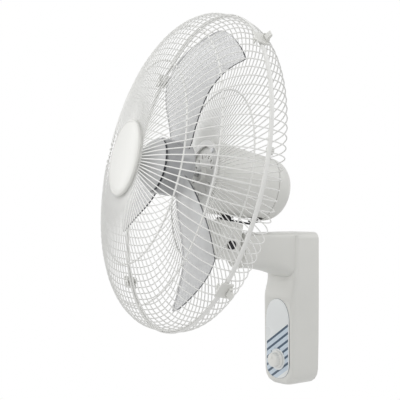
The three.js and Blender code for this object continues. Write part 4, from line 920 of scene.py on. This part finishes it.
@dataclass
class Motor:
    """The round motor casing behind the cage."""

    front: float = -52.4
    radius: float = 58.0
    rear_radius: float = 51.0
    length: float = 111.0
    dome: float = 37.0
    wall: float = 1.8
    vents: int = 16
    vent_in: float = 28.0
    vent_out: float = 35.0
    body: str = "head"

    def radius_at(self, y: float) -> float:
        """The barrel's outer radius at a distance along the head's axis."""
        return self.radius + (self.rear_radius - self.radius) * (y - self.front) / self.length

    def barrel(self) -> None:
        """The tapered barrel with rolled ends, cut for the knob, the swivel and the crank."""
        y0, y1 = self.front + 9.3, self.front + self.length
        outer, inner = self.radius_at, lambda y: self.radius_at(y) - self.wall
        shell = turned("barrel_shell", [
            (inner(y0), y0), (outer(y0) - 0.8, y0), (outer(y0), y0 + 0.8), (outer(y0 + 30), y0 + 30),
            (outer(y0 + 75), y0 + 75), (outer(y1), y1 - 0.8), (outer(y1) - 0.8, y1), (inner(y1), y1),
            (inner(y0), y0)], 128)
        knob = turned("a", [(0, 20), (4.4, 20), (4.4, 80), (0, 80)], 24)
        settle(knob, Matrix.Translation((21 * MM, 49 * MM, 0)) @ Matrix.Rotation(math.radians(90), 4, "X"))
        swivel = turned("b", [(0, -80), (11.3, -80), (11.3, -30), (0, -30)], 40)
        settle(swivel, Matrix.Rotation(math.radians(90), 4, "X"))
        crank = turned("c", [(0, -80), (17, -80), (17, -30), (0, -30)], 48)
        settle(crank, Matrix.Translation((0, 49 * MM, 0)) @ Matrix.Rotation(math.radians(90), 4, "X"))
        for tool in (knob, swivel, crank):
            tidy_normals(tool)
        cut_away(shell, [knob, swivel, crank])
        settle(shell, HEAD)
        fit_piece(smooth(shell, 30), Finish.HOUSING, self.body, "housing", "motor_barrel")

    def plate(self) -> None:
        """The round front plate with its bearing boss and a ring of small vents."""
        y0, r = self.front, self.radius
        disc = turned("vented_front_plate", [
            (5, y0 - 8), (11.6, y0 - 8), (12.6, y0 - 7.6), (13, y0 - 6.8), (13.2, y0), (r - 5, y0),
            (r - 2.2, y0 + 0.8), (r - 0.6, y0 + 2.3), (r, y0 + 4.2), (r, y0 + 9), (r - 4, y0 + 9),
            (r - 6, y0 + 3),
            (12, y0 + 3), (12, y0 + 6), (8.3, y0 + 6), (8.3, y0 - 6), (5, y0 - 6), (5, y0 - 8)], 96)
        vent = block("vent", (-1.5, y0 - 3, self.vent_in), (1.5, y0 + 6, self.vent_out), 1.0, 2)
        screw = turned("screw_hole", [(0, y0 - 3), (2.1, y0 - 3), (2.1, y0 + 6), (0, y0 + 6)], 16)
        settle(screw, Matrix.Translation((0, 0, 50.5 * MM)))
        cut_away(disc, copies_round(vent, self.vents, 5) + copies_round(screw, 3, 45))
        settle(disc, HEAD)
        fit_piece(smooth(disc, 30), Finish.CREAM, self.body, "housing", "motor_front_plate")
        # A near-black ring sheet behind the vents: painted shade standing in for the dark inside of the
        # motor.
        screen = turned("vent_shade_sheet",
                        [(26, y0 + 3.1), (37, y0 + 3.1), (37, y0 + 3.8), (26, y0 + 3.8), (26, y0 + 3.1)], 64)
        settle(screen, HEAD)
        fit_piece(smooth(screen, 30), Finish.DARK, self.body, "dark")

    def rear(self) -> None:
        """The domed rear cover with its ring of slots."""
        y0 = self.front + self.length + 0.3
        steps = 14
        outer, inner = [], []
        for k in range(steps + 1):
            a = math.pi / 2 * k / steps
            outer.append((self.rear_radius * max(0.0, math.cos(a)) ** 0.8, y0 + self.dome * math.sin(a)))
            wide, deep = self.rear_radius - self.wall, self.dome - self.wall
            inner.append((wide * max(0.0, math.cos(a)) ** 0.8, y0 + deep * math.sin(a)))
        outer[-1] = (0, outer[-1][1])
        inner[-1] = (0, inner[-1][1])
        shell = turned("dome_shell", [*outer, *reversed(inner), outer[0]], 128)
        slot = block("slot", (-1.5, y0 + 8, 20), (1.5, y0 + self.dome + 4, 36), 1.2, 3)
        cut_away(shell, copies_round(slot, 16, 11.25))
        settle(shell, HEAD)
        fit_piece(smooth(shell, 30), Finish.HOUSING, self.body, "housing", "motor_rear_cover")

    def build(self) -> None:
        """Builds the casing."""
        self.plate()
        self.barrel()
        self.rear()


# ---------------------------------------------------------------- bracket


@dataclass
class Controls:
    """The label plate, its dial and the speed knob on the front of the box."""

    face: float = -58.3
    label_z: float = -49.5
    half_width: float = 28.0
    height: float = 131.0
    thick: float = 1.2
    knob_z: float = -84.0
    knob_radius: float = 14.0
    knob_height: float = 12.6

    def label(self) -> None:
        """The plate, from a closed outline that is filled, thickened and softened."""
        deselect()
        bpy.ops.curve.primitive_bezier_circle_add(radius=0.01, rotation=(0, 0, 0))
        curve = bpy.context.object
        w, low, high = self.half_width, -self.height / 2, self.height / 2
        knots = [
            ((0, high), (-w * 0.55, high), (w * 0.55, high)),
            ((w, high - w * 1.35), (w, high - w * 0.5), (w, low + w * 1.5)),
            ((w, low + w * 0.9), (w, high - w * 1.8), (w, low + w * 0.35)),
            ((0, low), (w * 0.6, low), (-w * 0.6, low)),
            ((-w, low + w * 0.9), (-w, low + w * 0.35), (-w, high - w * 1.8)),
            ((-w, high - w * 1.35), (-w, low + w * 1.5), (-w, high - w * 0.5)),
        ]
        spline = curve.data.splines[0]
        spline.bezier_points.add(len(knots) - 4)
        for knot, (place, left, right) in zip(spline.bezier_points, knots):
            knot.handle_left_type = knot.handle_right_type = "FREE"
            knot.co = (place[0] * MM, place[1] * MM, 0)
            knot.handle_left = (left[0] * MM, left[1] * MM, 0)
            knot.handle_right = (right[0] * MM, right[1] * MM, 0)
        curve.data.dimensions = "2D"
        curve.data.fill_mode = "BOTH"
        curve.data.resolution_u = 14
        bpy.ops.object.convert(target="MESH")
        plate = named("printed_label_plate")
        stand = Matrix.Translation((0, self.face * MM, self.label_z * MM)) @ ALONG_Y
        settle(plate, stand)
        bpy.ops.object.mode_set(mode="EDIT")
        bpy.ops.mesh.select_all(action="SELECT")
        bpy.ops.mesh.extrude_region_move(TRANSFORM_OT_translate={"value": (0, -self.thick * MM, 0)})
        bpy.ops.object.mode_set(mode="OBJECT")
        tidy_normals(plate)
        apply_modifier(plate, "BEVEL", width=0.9 * MM, segments=2, limit_method="ANGLE",
                       angle_limit=math.radians(60))
        plate.data.materials.append(material_of(Finish.LABEL))
        plate.data.materials.append(material_of(Finish.INK))
        for face in plate.data.polygons:
            face.material_index = int(face.normal.y > -0.98)
        hole = turned("hole", [(0, self.face - 6), (4.2, self.face - 6), (4.2, self.face + 6),
                               (0, self.face + 6)], 32)
        settle(hole, Matrix.Translation((0, 0, self.knob_z * MM)))
        cut_away(plate, [hole])
        fit_piece(smooth(plate, 30), Finish.LABEL, "bracket", "cream", "control_label_plate")

    def dial(self) -> None:
        """The plain speed numbers round the knob, printed on the label."""
        numbers = []
        for k, word in enumerate("0123"):
            deselect()
            bpy.ops.object.text_add(location=(0, 0, 0))
            text = bpy.context.object
            text.data.body = word
            text.data.size = 5.2 * MM
            text.data.extrude = 0.08 * MM
            text.data.align_x = "CENTER"
            text.data.align_y = "CENTER"
            bpy.ops.object.convert(target="MESH")
            angle = math.radians(-52 + 34.7 * k)
            place = Matrix.Translation((18.2 * MM * math.sin(angle), (self.face - self.thick - 0.06) * MM,
                                        self.knob_z * MM + 18.2 * MM * math.cos(angle)))
            numbers.append(settle(bpy.context.object, place @ ALONG_Y))
        dial = join_into("dial_numbers", numbers)
        fit_piece(dial, Finish.INK, "bracket", "cream")

    def knob(self) -> None:
        """The speed knob: a skirt, a ribbed grip and a raised pointer."""
        front = self.face - self.thick - 0.3
        r, h = self.knob_radius, self.knob_height
        skirt = turned("speed_knob_cap", [
            (3.3, front), (r - 0.3, front), (r, front - 0.4), (r, front - 2.6), (r - 0.5, front - 3.2),
            (r - 1.5, front - 3.9), (r - 2.0, front - 4.8), (r - 2.5, front - h + 2.4),
            (r - 3.4, front - h + 0.9),
            (r - 5, front - h + 0.1), (0, front - h), (0, front - 11), (3.3, front - 11), (3.3, front)], 72)
        groove = turned("groove",
                        [(0, front - h - 4), (0.9, front - h - 4), (0.9, front - 4.8), (0, front - 4.8)], 12)
        settle(groove, Matrix.Translation((0, 0, (r - 1.7) * MM)))
        cut_away(skirt, copies_round(groove, 20, 9))
        pointer = block("pointer", (-1.3, front - h - 0.9, 1), (1.3, front - h + 3, r - 3.6), 0.5, 3)
        knob = join_into("ribbed_speed_knob", [skirt, pointer])
        settle(knob, Matrix.Translation((0, 0, self.knob_z * MM)))
        fit_piece(smooth(knob, 35), Finish.CREAM, "control_knob", "cream", "speed_knob")

    def build(self) -> None:
        """Builds the label, its dial and the knob."""
        self.label()
        self.dial()
        self.knob()


# ---------------------------------------------------------------- CAD nodes that stay


SLOT_FINISH = {
    "housing": Finish.HOUSING, "wire": Finish.WIRE, "blade": Finish.BLADE, "steel": Finish.STEEL,
    "dark": Finish.DARK, "washer": Finish.WASHER, "copper": Finish.COPPER, "cream": Finish.CREAM,
    "bearing": Finish.BEARING, "cast": Finish.CAST,
}


# Joint parts under the motor that get the near-black finish as painted shade of the motor's shadow.
NODES_IN_PAINTED_SHADE = ("tilt_bolt", "tilt_nut", "drive_link", "crank_arm", "swivel_pin", "swivel_clip",
                 "swivel_boss")


def softened_facets() -> bpy.types.NodeTree:
    """A geometry group that merges loose triangles and shades shallow edges smooth."""
    tree = bpy.data.node_groups.new("softened_facets", "GeometryNodeTree")
    tree.interface.new_socket("Geometry", in_out="INPUT", socket_type="NodeSocketGeometry")
    tree.interface.new_socket("Geometry", in_out="OUTPUT", socket_type="NodeSocketGeometry")
    wiring = Wiring(tree)
    takes, gives = wiring.add("NodeGroupInput"), wiring.add("NodeGroupOutput")
    merge = wiring.add("GeometryNodeMergeByDistance")
    wiring.feed(merge, "Geometry", takes.outputs[0])
    wiring.feed(merge, "Distance", 1e-5)
    edge = wiring.add("GeometryNodeInputMeshEdgeAngle")
    flat = wiring.add("FunctionNodeCompare", data_type="FLOAT", operation="LESS_EQUAL")
    wiring.feed(flat, 0, edge.outputs[0])
    wiring.feed(flat, 1, math.radians(32))
    faces = wiring.add("GeometryNodeSetShadeSmooth", domain="FACE")
    wiring.feed(faces, "Geometry", merge.outputs[0])
    edges = wiring.add("GeometryNodeSetShadeSmooth", domain="EDGE")
    wiring.feed(edges, "Geometry", faces.outputs[0])
    wiring.feed(edges, "Shade Smooth", flat.outputs[0])
    wiring.feed(gives, 0, edges.outputs[0])
    return tree


def dress_nodes() -> None:
    """Gives every CAD node its finish, and softens its facets."""
    soft = softened_facets()
    slots = {entry["node"]: entry["material_slot"] for entry in frame["record"]["subparts"]}
    for name, node in frame["nodes"].items():
        # The listed joint parts get near-black painted shade instead of their own finish.
        finish = Finish.SHADE_BLACK if name in NODES_IN_PAINTED_SHADE else SLOT_FINISH[slots[name]]
        dress(node, finish)
        modifier = node.modifiers.new("Softened", "NODES")
        modifier.node_group = soft
        LOG.info("%s keeps its shape, finish %s", name, finish.name)


# ---------------------------------------------------------------- camera and light


@dataclass
class Studio:
    """Camera, floor, backdrop light and lamps."""

    azimuth: float = 52.0
    elevation: float = -0.5
    distance: float = 1.40
    lens: float = 81.1
    floor_z: float = -0.60

    def camera(self) -> None:
        """The camera at the photograph's angle."""
        a, e = math.radians(self.azimuth), math.radians(self.elevation)
        back = Vector((math.sin(a) * math.cos(e), -math.cos(a) * math.cos(e), math.sin(e)))
        right = Vector((math.cos(a), math.sin(a), 0))
        up = back.cross(right)
        rim = HEAD @ Vector((0, RIM, 0))
        data = bpy.data.cameras.new("camera")
        data.lens = self.lens
        data.sensor_width = 36.0
        data.clip_end = 50
        camera = bpy.data.objects.new("camera", data)
        camera.location = rim + back * self.distance + right * 0.0166 - up * 0.0429
        camera.rotation_mode = "QUATERNION"
        camera.rotation_quaternion = (-back).to_track_quat("-Z", "Y")
        bpy.context.scene.collection.objects.link(camera)
        bpy.context.scene.camera = camera

    def lamp(self, name: str, place: Vector, size: float, power: float) -> None:
        """A soft square lamp that looks at the fan."""
        data = bpy.data.lights.new(name, "AREA")
        data.size = size
        data.energy = power
        lamp = bpy.data.objects.new(name, data)
        lamp.location = place
        aim = Vector((0, -0.2, 0.15)) - place
        lamp.rotation_mode = "QUATERNION"
        lamp.rotation_quaternion = aim.to_track_quat("-Z", "Y")
        bpy.context.scene.collection.objects.link(lamp)

    def world(self) -> None:
        """White where the camera and reflections look, softer as a light."""
        world = bpy.data.worlds.new("studio")
        bpy.context.scene.world = world
        world.use_nodes = True
        wiring = Wiring(world.node_tree)
        light = wiring.add("ShaderNodeBackground")
        wiring.feed(light, "Color", (1, 1, 1, 1))
        paths = wiring.add("ShaderNodeLightPath")
        seen = wiring.math("MAXIMUM", paths.outputs["Is Camera Ray"], paths.outputs["Is Glossy Ray"])
        seen = wiring.math("MAXIMUM", seen, paths.outputs["Is Transmission Ray"])
        wiring.feed(light, "Strength", wiring.ranged(seen, 0.0, 1.0, 0.62, 1.0))
        result = wiring.add("ShaderNodeOutputWorld")
        wiring.feed(result, "Surface", light.outputs[0])

    def floor(self) -> None:
        """A pale floor far below, which the eye sees as white."""
        deselect()
        bpy.ops.mesh.primitive_plane_add(size=12, location=(0, 0, self.floor_z))
        floor = settle(named("floor"))
        material = bpy.data.materials.new("pale_floor")
        material.use_nodes = True
        wiring = Wiring(material.node_tree)
        diffuse = wiring.add("ShaderNodeBsdfDiffuse")
        wiring.feed(diffuse, "Color", (0.86, 0.86, 0.86, 1))
        glow = wiring.add("ShaderNodeEmission")
        wiring.feed(glow, "Color", (1, 1, 1, 1))
        mix = wiring.add("ShaderNodeMixShader")
        wiring.feed(mix, 0, wiring.add("ShaderNodeLightPath").outputs["Is Camera Ray"])
        wiring.feed(mix, 1, diffuse.outputs[0])
        wiring.feed(mix, 2, glow.outputs[0])
        result = wiring.add("ShaderNodeOutputMaterial")
        wiring.feed(result, "Surface", mix.outputs[0])
        floor.data.materials.append(material)

    def build(self) -> None:
        """Sets the view, the floor and the lights."""
        bpy.context.scene.view_settings.view_transform = "Standard"
        self.camera()
        self.world()
        self.floor()
        self.lamp("key", Vector((1.1, -1.6, 1.7)), 1.4, 14)
        self.lamp("fill", Vector((-1.6, -1.2, 0.9)), 1.6, 14)
        self.lamp("back", Vector((0.9, 1.0, 1.2)), 1.0, 5)


def main() -> None:
    """Builds the studio, dresses the CAD nodes and makes each sub-assembly."""
    logging.basicConfig(level=logging.INFO, format="%(name)s: %(message)s")
    Studio().build()
    dress_nodes()
    for part in (Cage(), Propeller(), Motor(), Controls()):
        part.build()
        LOG.info("%s done", type(part).__name__)


if __name__ == "__main__":
    main()
